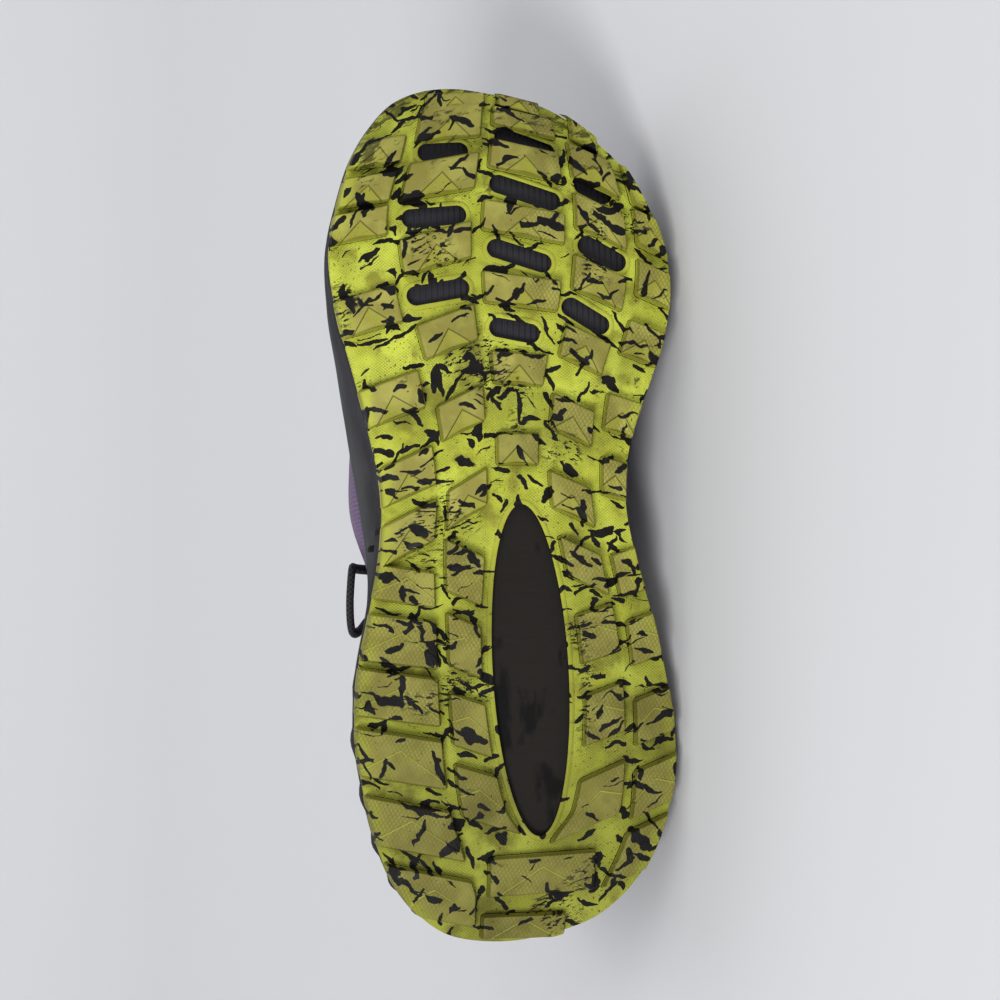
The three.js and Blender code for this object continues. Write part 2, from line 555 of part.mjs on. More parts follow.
// A column of the sections, eased by angle and carried on round both ends, so that the two sides of the
// upper meet without a crease. What changes sign from side to side is carried on negative.
function carried(value, sign = 1) {
  const rows = SECTIONS.map((row) => ({ at: Math.acos(1 - 2 * row.at), value: value(row) }));
  const [second, nextToLast] = [rows[1], rows[rows.length - 2]];
  return [
    { at: -second.at, value: sign * second.value },
    ...rows,
    { at: 2 * Math.PI - nextToLast.at, value: sign * nextToLast.value },
  ];
}
const EDGE_X = carried((row) => row.edge * LENGTH);
const EDGE_HALF = carried((row) => row.half * BALL_WIDTH, -1);
const EDGE_HEIGHT = carried((row) => row.of * row.height);
const RISE = carried((row) => row.rise);
const SWELL = carried((row) => row.swell);
const OVER = carried((row) => row.over);
const UNDER = carried((row) => row.under);

// The outside of the upper at an angle round the sole and a rise from the sole to the edge of the
// collar and throat

function skinPoint(angle, rise) {
  const turn = THREE.MathUtils.euclideanModulo(angle, 2 * Math.PI);
  const side = turn <= Math.PI ? -1 : 1;
  const value = (rows) => column(rows, side < 0 ? turn : 2 * Math.PI - turn, 'value');
  const at = outline(angle);
  const foot = outline(angle, -rimInset(at.x, angle));
  foot.z = rimHeight(at.x) + GAP;
  const x = BACK + value(EDGE_X);
  const edge = new THREE.Vector3(x, middle(x) + side * value(EDGE_HALF), rimHeight(x) + value(EDGE_HEIGHT));
  const tall = edge.z - foot.z;
  const run = Math.hypot(edge.x - foot.x, edge.y - foot.y);
  const out = outwards(angle);
  const arch = side < 0 ? ARCH_BULGE.swell * hump((shareOf(at.x) - ARCH_BULGE.at) / ARCH_BULGE.half) : 0;
  const lower = foot.clone().addScaledVector(out, (value(SWELL) + arch) * tall);
  lower.z += value(RISE) * tall;
  const upper = edge.clone().addScaledVector(out, value(OVER) * run);
  upper.z -= value(UNDER) * tall;
  return new THREE.CubicBezierCurve3(foot, lower, upper, edge).getPoint(rise);
}

// The same, moved out along the surface's own normal
function skin(angle, rise, lift = 0) {
  const point = skinPoint(angle, rise);
  if (!lift) return point;
  const step = 0.03;
  const round = skinPoint(angle + step, rise).sub(skinPoint(angle - step, rise));
  const up = skinPoint(angle, Math.min(1, rise + step)).sub(skinPoint(angle, Math.max(0, rise - step)));
  return point.addScaledVector(round.cross(up).normalize(), lift);
}

// Thickness of the upper: the foam of the collar swells it towards the opening, from the heel forward
function upperWall(angle, rise) {
  const share = (1 - Math.cos(angle)) / 2;
  const foam = (1 - THREE.MathUtils.smoothstep(share, 0.34, 0.47)) * THREE.MathUtils.smoothstep(rise, 0.45, 0.75)
    * (1 - 0.55 * THREE.MathUtils.smoothstep(rise, 0.9, 1));
  return WALL + COLLAR_PAD * foam;
}

// A closed sheet cut from the skin between two lifts. Its sides are given at each angle.
function sheet(angles, rises, outer, inner, closed) {
  const rows = angles.map((angle) => rises(angle).map((rise) => ({
    out: skin(angle, rise, outer(angle, rise)),
    in: skin(angle, rise, inner(angle, rise)),
  })));
  const faces = [];
  const last = rows.length - 1;
  const top = rows[0].length - 1;
  for (let i = 0; i < rows.length - (closed ? 0 : 1); i++) {
    const [a, b] = [rows[i], rows[(i + 1) % rows.length]];
    for (let j = 0; j < top; j++) {
      quad(faces, a[j].out, b[j].out, b[j + 1].out, a[j + 1].out);
      quad(faces, a[j].in, a[j + 1].in, b[j + 1].in, b[j].in);
    }
    quad(faces, a[0].in, b[0].in, b[0].out, a[0].out);
    quad(faces, a[top].out, b[top].out, b[top].in, a[top].in);
  }
  if (!closed) {
    for (let j = 0; j < top; j++) {
      quad(faces, rows[0][j].in, rows[0][j].out, rows[0][j + 1].out, rows[0][j + 1].in);
      quad(faces, rows[last][j].out, rows[last][j].in, rows[last][j + 1].in, rows[last][j + 1].out);
    }
  }
  return geometryOf(faces);
}

const spread = (from, to, count) => Array.from({ length: count + 1 }, (_, i) => lerp(from, to, i / count));

// Where the eyelets are, from the front of the throat to its top
const EYELET_FIRST = 0.80;
const EYELET_LAST = 0.50;
const EYELET_RISE = 0.90;
const eyeletAngle = (i, side) => angleOf(lerp(EYELET_FIRST, EYELET_LAST, i / (EYELETS - 1)), side);

function eyeletCuts(side) {
  return Array.from({ length: EYELETS }, (_, i) => {
    const angle = eyeletAngle(i, side);
    const from = skin(angle, EYELET_RISE, -WALL * 2.5);
    const to = skin(angle, EYELET_RISE, WALL * 2.5);
    const axis = to.clone().sub(from);
    const pin = new THREE.CylinderGeometry(EYELET / 2, EYELET / 2, axis.length(), 6);
    pin.applyQuaternion(new THREE.Quaternion().setFromUnitVectors(new THREE.Vector3(0, 1, 0), axis.normalize()));
    pin.translate(...from.add(to).multiplyScalar(0.5).toArray());
    return solidOf(pin);
  });
}

const punched = (geometry, cuts) => meshOf(cuts.reduce((sum, one) => sum.subtract(one), solidOf(geometry)));

function upper() {
  const angles = spread(0, 2 * Math.PI, RING).slice(0, -1);
  const rises = spread(0, 1, LEVELS);
  const body = sheet(angles, () => rises, () => 0, (a, r) => -upperWall(a, r), true);
  return punched(body, [...eyeletCuts(-1), ...eyeletCuts(1)]);
}

// Overlays lie on the skin: each has a range of angles and a range of rises
const outerFace = () => OVERLAY + GAP;
const innerFace = () => GAP;
const stationAt = (share) => Math.round((Math.acos(1 - 2 * share) / (2 * Math.PI)) * RING);
const stations = (from, to) => spread(ringAngle(from), ringAngle(to), Math.abs(to - from));

function toeCap() {
  const end = stationAt(0.79);
  const angles = stations(end, RING - end);
  const top = (angle) => 0.10 + 0.26 * hump((angle - Math.PI) / (Math.PI - angles[0])) ** 0.6;
  return sheet(angles, (angle) => spread(0.03, top(angle), 3), outerFace, innerFace, false);
}

function heelCounter() {
  const end = stationAt(0.40);
  const angles = stations(-end, end);
  const top = (angle) => lerp(0.16, 0.70, hump(angle / angles[0]) ** 0.7);
  return sheet(angles, (angle) => spread(0.03, top(angle), 5), outerFace, innerFace, false);
}

// One piece round the front of the throat, as wide all the way
function eyestay() {
  const end = stationAt(0.45);
  const low = (angle) => 1 - EYESTAY / skinPoint(angle, 0.6).distanceTo(skinPoint(angle, 1)) * 0.4;
  const body = sheet(stations(end, RING - end), (angle) => spread(low(angle), 0.985, 2), outerFace, innerFace,
    false);
  return punched(body, [...eyeletCuts(-1), ...eyeletCuts(1)]);
}

// The tongue fills the throat from below: five points across, taken from the skin of both sides
function tongue() {
  const under = 0.86;
  const section = (angle, depth) => {
    const below = (side, rise) => skin(side * angle, rise, -(upperWall(angle, rise) + TONGUE_GAP + depth));
    const [a, b] = [below(1, 0.985), below(-1, 0.985)];
    const crest = a.clone().add(b).multiplyScalar(0.5);
    crest.z += 0.06 * a.distanceTo(b);
    return [below(1, under), a, crest, b, below(-1, under)];
  };
  const rows = stations(stationAt(0.96), stationAt(0.54)).map((angle) => ({ out: section(angle, 0), in: section(angle, TONGUE) }));
  const last = rows[rows.length - 1];
  const before = rows[rows.length - 3];
  const climb = last.out[2].clone().sub(before.out[2]).normalize();
  for (const [reach, widen] of [[0.3, 0.86], [0.7, 0.88], [1, 0.76]]) {
    const move = (p) => {
      const moved = p.clone().addScaledVector(climb, reach * TONGUE_REACH);
      moved.y = lerp(last.out[2].y, moved.y, widen);
      return moved;
    };
    rows.push({ out: last.out.map(move), in: last.in.map(move) });
  }
  const faces = [];
  const across = rows[0].out.length - 1;
  for (let i = 0; i < rows.length - 1; i++) {
    const [a, b] = [rows[i], rows[i + 1]];
    for (let j = 0; j < across; j++) {
      quad(faces, a.out[j], a.out[j + 1], b.out[j + 1], b.out[j]);
      quad(faces, a.in[j], b.in[j], b.in[j + 1], a.in[j + 1]);
    }
    quad(faces, a.in[0], a.out[0], b.out[0], b.in[0]);
    quad(faces, a.out[across], a.in[across], b.in[across], b.out[across]);
  }
  for (let j = 0; j < across; j++) {
    quad(faces, rows[0].in[j], rows[0].in[j + 1], rows[0].out[j + 1], rows[0].out[j]);
    const end = rows[rows.length - 1];
    quad(faces, end.out[j], end.out[j + 1], end.in[j + 1], end.in[j]);
  }
  return geometryOf(faces);
}

// A round cord along points
function cord(points, steps, diameter = LACE, sides = 8) {
  const section = new THREE.Shape(Array.from({ length: sides }, (_, i) => {
    const a = (i / sides) * 2 * Math.PI;
    return new THREE.Vector2(Math.cos(a), Math.sin(a)).multiplyScalar(diameter / 2);
  }));
  const path = new THREE.CatmullRomCurve3(points, false, 'centripetal');
  return new THREE.ExtrudeGeometry(section, { steps, extrudePath: path, bevelEnabled: false });
}

// Lace bars between the eyelets, joined where they cross and at the eyelets. Each goes from its eyelet
// over the rim of the throat, across it and over the other rim.
const LACE_LIFT = OVERLAY + GAP + LACE / 2 + GAP;
const laceSeat = (i, side) => skin(eyeletAngle(i, side), EYELET_RISE, LACE_LIFT);
function laceCrossings() {
  const bar = (i, j, side, rise) => {
    const rim = (n, m, end) => skin(
      lerp(eyeletAngle(n, end), eyeletAngle(m, end), 0.25), 1, LACE_LIFT + 0.8);
    const [from, to] = [rim(i, j, side), rim(j, i, -side)];
    const mid = from.clone().add(to).multiplyScalar(0.5);
    mid.z += rise;
    return solidOf(cord([laceSeat(i, side), from, mid, to, laceSeat(j, -side)], 6, LACE, 5));
  };
  const top = EYELETS - 1;
  const bars = [bar(0, 0, -1, 1), bar(top, top, -1, 3)];
  for (let i = 0; i < EYELETS - 1; i++) bars.push(bar(i, i + 1, -1, 2.4), bar(i, i + 1, 1, 2.4));
  return meshOf(bars.reduce((sum, one) => sum.add(one)));
}

// The bow's knot sits on the top bar, and its inner loop hangs over the inner side of the upper to just
// past the edge of the sole. The loop's points are chosen by hand.
function knot(bars) {
  bars.computeBoundingBox();
  const [inner, outer] = [laceSeat(EYELETS - 1, -1), laceSeat(EYELETS - 1, 1)];
  const ball = new THREE.SphereGeometry(1, 10, 7);
  ball.rotateX(Math.PI / 2);
  ball.scale(KNOT * 0.8, KNOT, KNOT * 0.6);
  ball.translate((inner.x + outer.x) / 2, (inner.y + outer.y) / 2, bars.boundingBox.max.z + GAP + KNOT * 0.6);
  return ball;
}
const LOOP = [
  [126.5, -7.2, 112.6], [124.0, -14.0, 112.2], [121.5, -20.5, 108.5], [119.8, -26.0, 101.8],
  [119.5, -31.2, 93.0], [120.0, -36.5, 82.0], [120.5, -40.8, 70.5], [121.0, -43.7, 59.0],
  [121.5, -45.3, 48.0], [121.8, -46.4, 39.5], [120.8, -47.0, 33.0], [117.0, -47.5, 29.4],
  [111.0, -47.8, 28.4], [105.0, -47.5, 30.2], [101.0, -46.6, 35.6], [99.9, -44.9, 43.0],
  [100.6, -42.8, 52.0], [102.5, -40.4, 62.0], [105.0, -37.2, 72.5], [107.5, -33.8, 82.0],
  [110.0, -30.0, 91.6], [112.6, -26.0, 100.5], [115.0, -20.5, 107.5], [118.5, -13.8, 112.2],
  [122.3, -5.9, 113.4],
];
const innerLoop = () => cord(LOOP.map((p) => new THREE.Vector3(...p)), 24, LACE, 6);

// The shoe is laid on its outer side. It comes to rest on the face of its hull that lies below its
// middle of mass.
function layDown(group) {
  const points = [];
  const middleOfMass = new THREE.Vector3();
  let mass = 0;
  for (const mesh of group.children) {
    const { position } = mesh.geometry.attributes;
    const corners = Array.from({ length: position.count }, (_, i) => new THREE.Vector3().fromBufferAttribute(position, i));
    const order = mesh.geometry.index ? mesh.geometry.index.array : corners.keys();
    const used = [...order].map((i) => corners[i]);
    for (let i = 0; i < used.length; i += 3) {
      const part = used[i].dot(used[i + 1].clone().cross(used[i + 2])) / 6 * mesh.material.userData.density;
      mass += part;
      for (let j = 0; j < 3; j++) middleOfMass.addScaledVector(used[i + j], part / 4);
    }
    if (!CORDS.includes(mesh.name)) points.push(...corners);
  }
  middleOfMass.divideScalar(mass);
  const hull = new ConvexHull().setFromPoints(points);
  const below = (face) => {
    const foot = middleOfMass.clone().addScaledVector(face.normal, -face.distanceToPoint(middleOfMass));
    let edge = face.edge;
    do {
      const [from, to] = [edge.tail().point, edge.head().point];
      if (to.clone().sub(from).cross(foot.clone().sub(from)).dot(face.normal) < 0) return false;
      edge = edge.next;
    } while (edge !== face.edge);
    return face.normal.y > 0.8;
  };
  const up = hull.faces.find(below).normal.clone().negate();
  const forward = new THREE.Vector3(1, 0, 0).addScaledVector(up, -up.x).normalize();
  group.quaternion.setFromRotationMatrix(
    new THREE.Matrix4().makeBasis(forward, up.clone().cross(forward), up).transpose());
  group.updateMatrixWorld(true);
  const box = new THREE.Box3().setFromPoints(points.map((p) => p.clone().applyMatrix4(group.matrixWorld)));
  const centre = box.getCenter(new THREE.Vector3());
  group.position.set(-centre.x, -centre.y, -box.min.z);
}

// density is in grams per cubic centimetre
function material(color, roughness, density) {
  return new THREE.MeshStandardMaterial({ color, roughness, metalness: 0, userData: { density } });
}
const MATERIALS = {
  rubber: material(0xa9ad3c, 0.7, 1.1),
  foam: material(0x3c3a3d, 0.85, 0.2),
  mesh: material(0x7b4d86, 0.9, 0.35),
  film: material(0x232226, 0.6, 1.1),
  lining: material(0x2b292e, 0.95, 0.15),
  cord: material(0x161518, 0.85, 0.9),
};
const CORDS = ['lace_knot', 'lace_loop'];

const shoe = new THREE.Group();
function add(name, geometry, material) {
  const mesh = new THREE.Mesh(geometry, material);
  mesh.name = name;
  shoe.add(mesh);
}

add('outsole', outsole(), MATERIALS.rubber);
add('midsole', midsole(), MATERIALS.foam);
add('insole', insole(), MATERIALS.lining);
add('upper', upper(), MATERIALS.mesh);
add('toe_cap', toeCap(), MATERIALS.film);
add('heel_counter', heelCounter(), MATERIALS.film);
add('eyestay', eyestay(), MATERIALS.film);
add('tongue', tongue(), MATERIALS.lining);
const bars = laceCrossings();
add('lace_crossings', bars, MATERIALS.cord);
add('lace_knot', knot(bars), MATERIALS.cord);
add('lace_loop', innerLoop(), MATERIALS.cord);
layDown(shoe);

export default shoe;
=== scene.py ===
# %% [markdown]
# # A worn trail running shoe, lying on its outer side
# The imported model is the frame: it says where every piece is and how large. This script dresses it.
# Nothing is moved or resized here. Each piece is made in its own cell, and its finish just before it.

# %% Load the frame and keep its box
import bpy
import bmesh
import json
import math
import numpy as np
from mathutils import Matrix, Vector


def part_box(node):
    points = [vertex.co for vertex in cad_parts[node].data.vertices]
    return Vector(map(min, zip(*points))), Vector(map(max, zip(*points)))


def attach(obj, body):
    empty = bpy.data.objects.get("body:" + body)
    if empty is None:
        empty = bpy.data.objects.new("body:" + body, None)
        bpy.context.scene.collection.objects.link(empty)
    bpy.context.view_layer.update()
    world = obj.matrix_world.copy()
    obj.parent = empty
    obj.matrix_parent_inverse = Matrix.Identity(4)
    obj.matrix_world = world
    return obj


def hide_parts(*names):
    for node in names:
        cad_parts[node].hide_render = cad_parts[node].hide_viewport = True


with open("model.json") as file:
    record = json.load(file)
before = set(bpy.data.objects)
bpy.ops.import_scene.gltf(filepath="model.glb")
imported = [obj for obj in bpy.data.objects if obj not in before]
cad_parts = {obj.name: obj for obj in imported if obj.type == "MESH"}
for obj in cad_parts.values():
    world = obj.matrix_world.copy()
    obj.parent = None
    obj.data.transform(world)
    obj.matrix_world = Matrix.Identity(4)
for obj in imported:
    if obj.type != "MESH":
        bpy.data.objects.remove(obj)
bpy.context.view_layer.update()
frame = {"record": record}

# %% [markdown]
# ## The shoe's own axes
# A shoe is easiest to describe standing on its sole: x from the heel to the toe, y to the outer side of
# the foot, z up from the ground, in millimetres. In the frame the shoe lies on its side. Two mounts on
# the tread lie at known places on the ground plane of the standing shoe, so they carry one set of axes
# over to the other.

# %% From the shoe's axes to the frame and back
HEEL_MOUNT = Vector((68.96, -7.85, 0.0))
BALL_MOUNT = Vector((185.74, 7.6, 0.0))


def shoe_axes():
    mounts = {m["name"]: m for m in frame["record"]["mounts"]}
    heel = Vector(mounts["tread_heel"]["pos_m"]) * 1000
    ball = Vector(mounts["tread_forefoot"]["pos_m"]) * 1000
    up = -Vector(mounts["tread_heel"]["axis"]).normalized()
    along = (ball - heel).normalized()
    between = BALL_MOUNT - HEEL_MOUNT
    turn = Matrix.Rotation(-math.atan2(between.y, between.x), 3, up)
    forward = turn @ (along - up * along.dot(up)).normalized()
    axes = Matrix((forward, up.cross(forward), up)).transposed()
    return np.array(axes), np.array(heel - axes @ HEEL_MOUNT)


AXES, PLACE = shoe_axes()


def to_frame(points):
    """Points in millimetres on the shoe's axes, as metres in the frame."""
    return (np.asarray(points, float) @ AXES.T + PLACE) / 1000


def to_shoe(points):
    """The way back."""
    return (np.asarray(points, float) * 1000 - PLACE) @ AXES


print("the sole leans back by", round(math.degrees(math.asin(-AXES[2, 2])), 1), "degrees")

# %% [markdown]
# ## The sizes of the shoe
# These are the sizes that the solids were made from. The detailed pieces follow the same few functions,
# only finer, so they fit the solids everywhere.

# %% Sizes in millimetres
LENGTH = 282
BALL_WIDTH = 113
WAIST_WIDTH = 81
HEEL_WIDTH = 106
SOLE_HEIGHT = 38
TOE_SPRING = 25
HEEL_BEVEL = 9
ARCH_LIFT = 2.5
EDGE_ROLL = 2.5
TOE_ROLL = 7
LUG_HEIGHT = 4.5
RUBBER = 2.2
GROOVE = 2.4
WINDOW_WIDTH = 6.6
HEEL_WINDOW_WIDTH = 25
HEEL_WINDOW_LENGTH = 108
SOLE_FLARE = 12
RIM_OUT = 3.2
RIM_IN = 3.4
CUP_DEPTH = 8
INSOLE = 4.2
WALL = 2.2
COLLAR_PAD = 3.6
COLLAR_BACK = 66
ANKLE = 47
INSTEP = 66
VAMP = 36
OVERLAY = 1.1
EYESTAY = 17
TONGUE = 4.6
TONGUE_REACH = 30
TONGUE_GAP = 0.7
LACE = 3.4
EYELET = 4.6
EYELETS = 5
GAP = 0.3
HALF_BALL = BALL_WIDTH / 2


def table(names, rows):
    """Rows of numbers as named columns."""
    return {name: np.array(values, float) for name, values in zip(names.split(), zip(*rows))}


# Half widths of the sole from its axis, as shares of the width in the row
OUTLINE = table("at width inner outer", [
    (0.008, HEEL_WIDTH, 0.145, 0.154),
    (0.030, HEEL_WIDTH, 0.235, 0.309),
    (0.070, HEEL_WIDTH, 0.324, 0.423),
    (0.120, HEEL_WIDTH, 0.383, 0.497),
    (0.180, HEEL_WIDTH, 0.423, 0.543),
    (0.240, HEEL_WIDTH, 0.448, 0.551),
    (0.310, HEEL_WIDTH, 0.444, 0.522),
    (0.380, HEEL_WIDTH, 0.410, 0.478),
    (0.450, WAIST_WIDTH, 0.494, 0.555),
    (0.520, WAIST_WIDTH, 0.490, 0.510),
    (0.590, WAIST_WIDTH, 0.543, 0.534),
    (0.660, BALL_WIDTH, 0.438, 0.441),
    (0.730, BALL_WIDTH, 0.487, 0.487),
    (0.800, BALL_WIDTH, 0.507, 0.487),
    (0.860, BALL_WIDTH, 0.478, 0.435),
    (0.910, BALL_WIDTH, 0.438, 0.359),
    (0.950, BALL_WIDTH, 0.380, 0.252),
    (0.980, BALL_WIDTH, 0.313, 0.130),
    (0.995, BALL_WIDTH, 0.232, -0.029),
])
HEEL_TIP = 0.015
TOE_TIP = -0.136

# The rim of the midsole: height as a share of SOLE_HEIGHT, inset on each side as a share of SOLE_FLARE
RIM = table("at height inner outer", [
    (0.00, 1.07, 0.72, 0.72),
    (0.12, 1.00, 1.00, 1.00),
    (0.26, 0.97, 0.96, 0.96),
    (0.36, 0.95, 0.62, 0.70),
    (0.44, 0.93, 0.12, 0.30),
    (0.52, 0.92, -0.22, 0.02),
    (0.60, 0.90, -0.14, 0.06),
    (0.70, 0.86, 0.12, 0.30),
    (0.84, 0.91, 0.44, 0.48),
    (0.93, 1.03, 0.52, 0.52),
    (1.00, 1.17, 0.56, 0.56),
])

# The side of the midsole, from the tread to the rim
SIDE = table("at out", [
    (0.00, -1.4),
    (0.12, -0.6),
    (0.36, 0.2),
    (0.46, -0.9),
    (0.54, 0.5),
    (0.86, 0.3),
    (1.00, 0.0),
])

# The upper, section by section from the back of the heel to the front of the throat
SECTIONS = table("at edge half height rise swell over under", [
    (0.00, 0.042, 0.000, COLLAR_BACK * 1.00, 0.42, 0.10, 0.50, 0.38),
    (0.04, 0.050, 0.110, COLLAR_BACK * 0.98, 0.42, 0.09, 0.40, 0.38),
    (0.10, 0.082, 0.205, COLLAR_BACK * 0.87, 0.42, 0.07, 0.30, 0.38),
    (0.18, 0.140, 0.262, ANKLE * 1.05, 0.44, 0.05, 0.25, 0.36),
    (0.27, 0.220, 0.280, ANKLE * 0.97, 0.46, 0.03, 0.22, 0.36),
    (0.35, 0.300, 0.268, ANKLE * 1.10, 0.46, 0.03, 0.28, 0.34),
    (0.42, 0.370, 0.226, INSTEP * 0.92, 0.46, 0.04, 0.36, 0.30),
    (0.48, 0.425, 0.180, INSTEP * 1.00, 0.46, 0.05, 0.45, 0.24),
    (0.56, 0.485, 0.160, INSTEP * 0.90, 0.48, 0.06, 0.50, 0.20),
    (0.64, 0.545, 0.142, INSTEP * 0.78, 0.52, 0.07, 0.50, 0.16),
    (0.72, 0.600, 0.122, VAMP * 1.22, 0.58, 0.07, 0.48, 0.12),
    (0.80, 0.640, 0.098, VAMP * 1.10, 0.64, 0.06, 0.46, 0.08),
    (0.90, 0.667, 0.062, VAMP * 1.03, 0.66, 0.05, 0.45, 0.05),
    (1.00, 0.678, 0.000, VAMP * 1.00, 0.66, 0.04, 0.45, 0.03),
])
RIDGE_SHIFT = -0.035
ARCH_BULGE = {"at": 0.505, "half": 0.10, "swell": 0.19}

# %% [markdown]
# ## The outline and the height of the tread
# One closed curve runs round the sole. A second function says how high the tread is over the ground:
# the toe springs up, the heel is bevelled, the arch is hollow and the edges roll up.

# %% The outline as a smooth closed curve
RING_STEPS = 24
TANGENT_STEP = 0.06


def column(rows, share, name):
    """A column of a table at any share of the length, eased between its rows."""
    at, value = rows["at"], rows[name]
    share = np.clip(share, at[0], at[-1])
    i = np.clip(np.searchsorted(at, share, side="right") - 1, 0, len(at) - 2)
    before = np.maximum(i - 1, 0)
    after = np.minimum(i + 2, len(at) - 1)
    step = at[i + 1] - at[i]
    t = (share - at[i]) / step
    slope_a = (value[i + 1] - value[before]) / (at[i + 1] - at[before]) * step
    slope_b = (value[after] - value[i]) / (at[after] - at[i]) * step
    return ((2 * t**3 - 3 * t**2 + 1) * value[i] + (t**3 - 2 * t**2 + t) * slope_a
            + (3 * t**2 - 2 * t**3) * value[i + 1] + (t**3 - t**2) * slope_b)


def smooth_ring(points, steps):
    """A centripetal spline through points, closed."""
    n = len(points)
    out = []
    for i in range(n):
        a, b, c, d = points[i - 1], points[i], points[(i + 1) % n], points[(i + 2) % n]
        ab, bc, cd = (np.linalg.norm(q - p) ** 0.5 for p, q in ((a, b), (b, c), (c, d)))
        leave = ((b - a) / ab - (c - a) / (ab + bc) + (c - b) / bc) * bc
        arrive = ((c - b) / bc - (d - b) / (bc + cd) + (d - c) / cd) * bc
        t = (np.arange(steps) / steps)[:, None]
        out.append(b + leave * t + (3 * (c - b) - 2 * leave - arrive) * t**2
                   + (2 * (b - c) + leave + arrive) * t**3)
    return np.concatenate(out)


def side_points(sign, name):
    return np.stack([OUTLINE["at"] * LENGTH, sign * OUTLINE[name] * OUTLINE["width"]], axis=1)


RING = smooth_ring(np.concatenate([
    [[0, HEEL_TIP * HEEL_WIDTH]], side_points(-1, "inner"),
    [[LENGTH, TOE_TIP * BALL_WIDTH]], side_points(1, "outer")[::-1]]), RING_STEPS)
RING = np.roll(RING, -RING[:, 0].argmin(), axis=0)
TOE = RING[:, 0].argmax()
INNER_SIDE = RING[:TOE + 1]
OUTER_SIDE = np.concatenate([RING[:1], RING[TOE:][::-1]])
BACK, FRONT = RING[0, 0], RING[TOE, 0]


def inner_y(x):
    return np.interp(x, INNER_SIDE[:, 0], INNER_SIDE[:, 1])


def outer_y(x):
    return np.interp(x, OUTER_SIDE[:, 0], OUTER_SIDE[:, 1])


def share_of(x):
    return (np.asarray(x, float) - BACK) / (FRONT - BACK)


def smooth(value, low, high):
    t = np.clip((value - low) / (high - low), 0, 1)
    return t * t * (3 - 2 * t)


def hill(t):
    """1 at 0, down to 0 at -1 and 1."""
    return np.maximum(0, np.cos(np.clip(t, -1, 1) * math.pi / 2))


def bump(value, middle, width):
    """1 at the middle, down to 0 at width to both sides."""
    return 1 - smooth(np.abs(value - middle), 0, width)


def plain_outline(angle):
    turn = np.mod(angle, 2 * math.pi)
    x = BACK + (FRONT - BACK) * (1 - np.cos(turn)) / 2
    y = np.where(turn <= math.pi, inner_y(x), outer_y(x))
    return np.stack([x, y, np.zeros_like(x)], axis=-1)


def outwards(angle):
    """Unit vectors away from the sole, level and square to its edge."""
    along = plain_outline(angle + TANGENT_STEP) - plain_outline(angle - TANGENT_STEP)
    along /= np.linalg.norm(along, axis=-1, keepdims=True)
    return np.stack([along[..., 1], -along[..., 0], np.zeros(along.shape[:-1])], axis=-1)


def outline(angle, out=0.0):
    """The edge of the sole at an angle: 0 at the heel, along the inner side to half a turn at the toe."""
    return plain_outline(angle) + outwards(angle) * np.asarray(out, float)[..., None]


# %% Heights over the ground
SPRING_FROM = 0.68
BEVEL_TO = 0.14
ARCH_SPAN = ((0.36, 0.46), (0.54, 0.64))
TOE_ROLL_SPAN = ((0.68, 0.86), (0.93, 1))
ROLL_FROM = 0.6


def plateau(share, spans):
    """1 between two spans of the length, eased down to 0 over each of them."""
    return smooth(share, *spans[0]) * (1 - smooth(share, *spans[1]))


def tread_height(x, y):
    """How high the faces of the lugs are."""
    share = np.clip(share_of(x), 0, 1)
    inner, outer = inner_y(x), outer_y(x)
    across = (2 * y - inner - outer) / np.maximum(outer - inner, 1)
    spring = TOE_SPRING * np.maximum(0, (share - SPRING_FROM) / (1 - SPRING_FROM)) ** 2
    bevel = HEEL_BEVEL * np.maximum(0, (BEVEL_TO - share) / BEVEL_TO) ** 2
    # The arch is hollow most at the inner side, where across is -1
    arch = ARCH_LIFT * (0.6 - 0.4 * across) * plateau(share, ARCH_SPAN)
    fore = plateau(share, TOE_ROLL_SPAN)
    roll = np.where(across > 0, EDGE_ROLL + (TOE_ROLL - EDGE_ROLL) * fore, EDGE_ROLL)
    ends = np.sin(math.pi * share) ** 0.5
    edge = np.clip((np.abs(across) - ROLL_FROM) / (1 - ROLL_FROM), 0, 1) ** 2
    return spring + bevel + arch + roll * edge * ends


def underside(x, y):
    """The rubber between the lugs."""
    return tread_height(x, y) + LUG_HEIGHT


def rim_height(x):
    return column(RIM, share_of(x), "height") * SOLE_HEIGHT


def is_inner(angle):
    return np.mod(angle, 2 * math.pi) <= math.pi


def rim_inset(x, angle):
    """How far the rim stands in from the edge of the tread."""
    share = share_of(x)
    return np.where(is_inner(angle), column(RIM, share, "inner"), column(RIM, share, "outer")) * SOLE_FLARE


def footbed(x):
    """The floor of the cup."""
    return rim_height(x) - CUP_DEPTH


print("outline:", round(FRONT - BACK, 1), "mm long,", round(outer_y(206) - inner_y(206), 1), "mm at the ball")

# %% [markdown]
# ## Meshes from grids
# Most pieces are one grid of points, closed into a ring or a loop. A few functions make the faces, one
# makes the object, and one writes the attributes that the finishes read:
# - shoe: the place on the shoe's own axes
# - flow: the same, bent along with the sole, so that marks drawn on it sweep out to the edges
# - rise: 0 between the lugs, 1 on the face of a lug, less than 0 where foam shows in a window
# - side: how far in from the edge of the sole

# %% Helpers for grids and pieces
IN_WINDOW = -0.5
WINDOW_LIMIT = -0.1
WINDOW_DEPTH = 0.25
WINDOW_MARGIN = 3
FLOW_BEND = ((0.0, 0.35, 0.55, 1.0), (-0.25, -0.2, 0.35, 0.3))
FLOW_BLUNT = 10
SIDE_LIMIT = 50


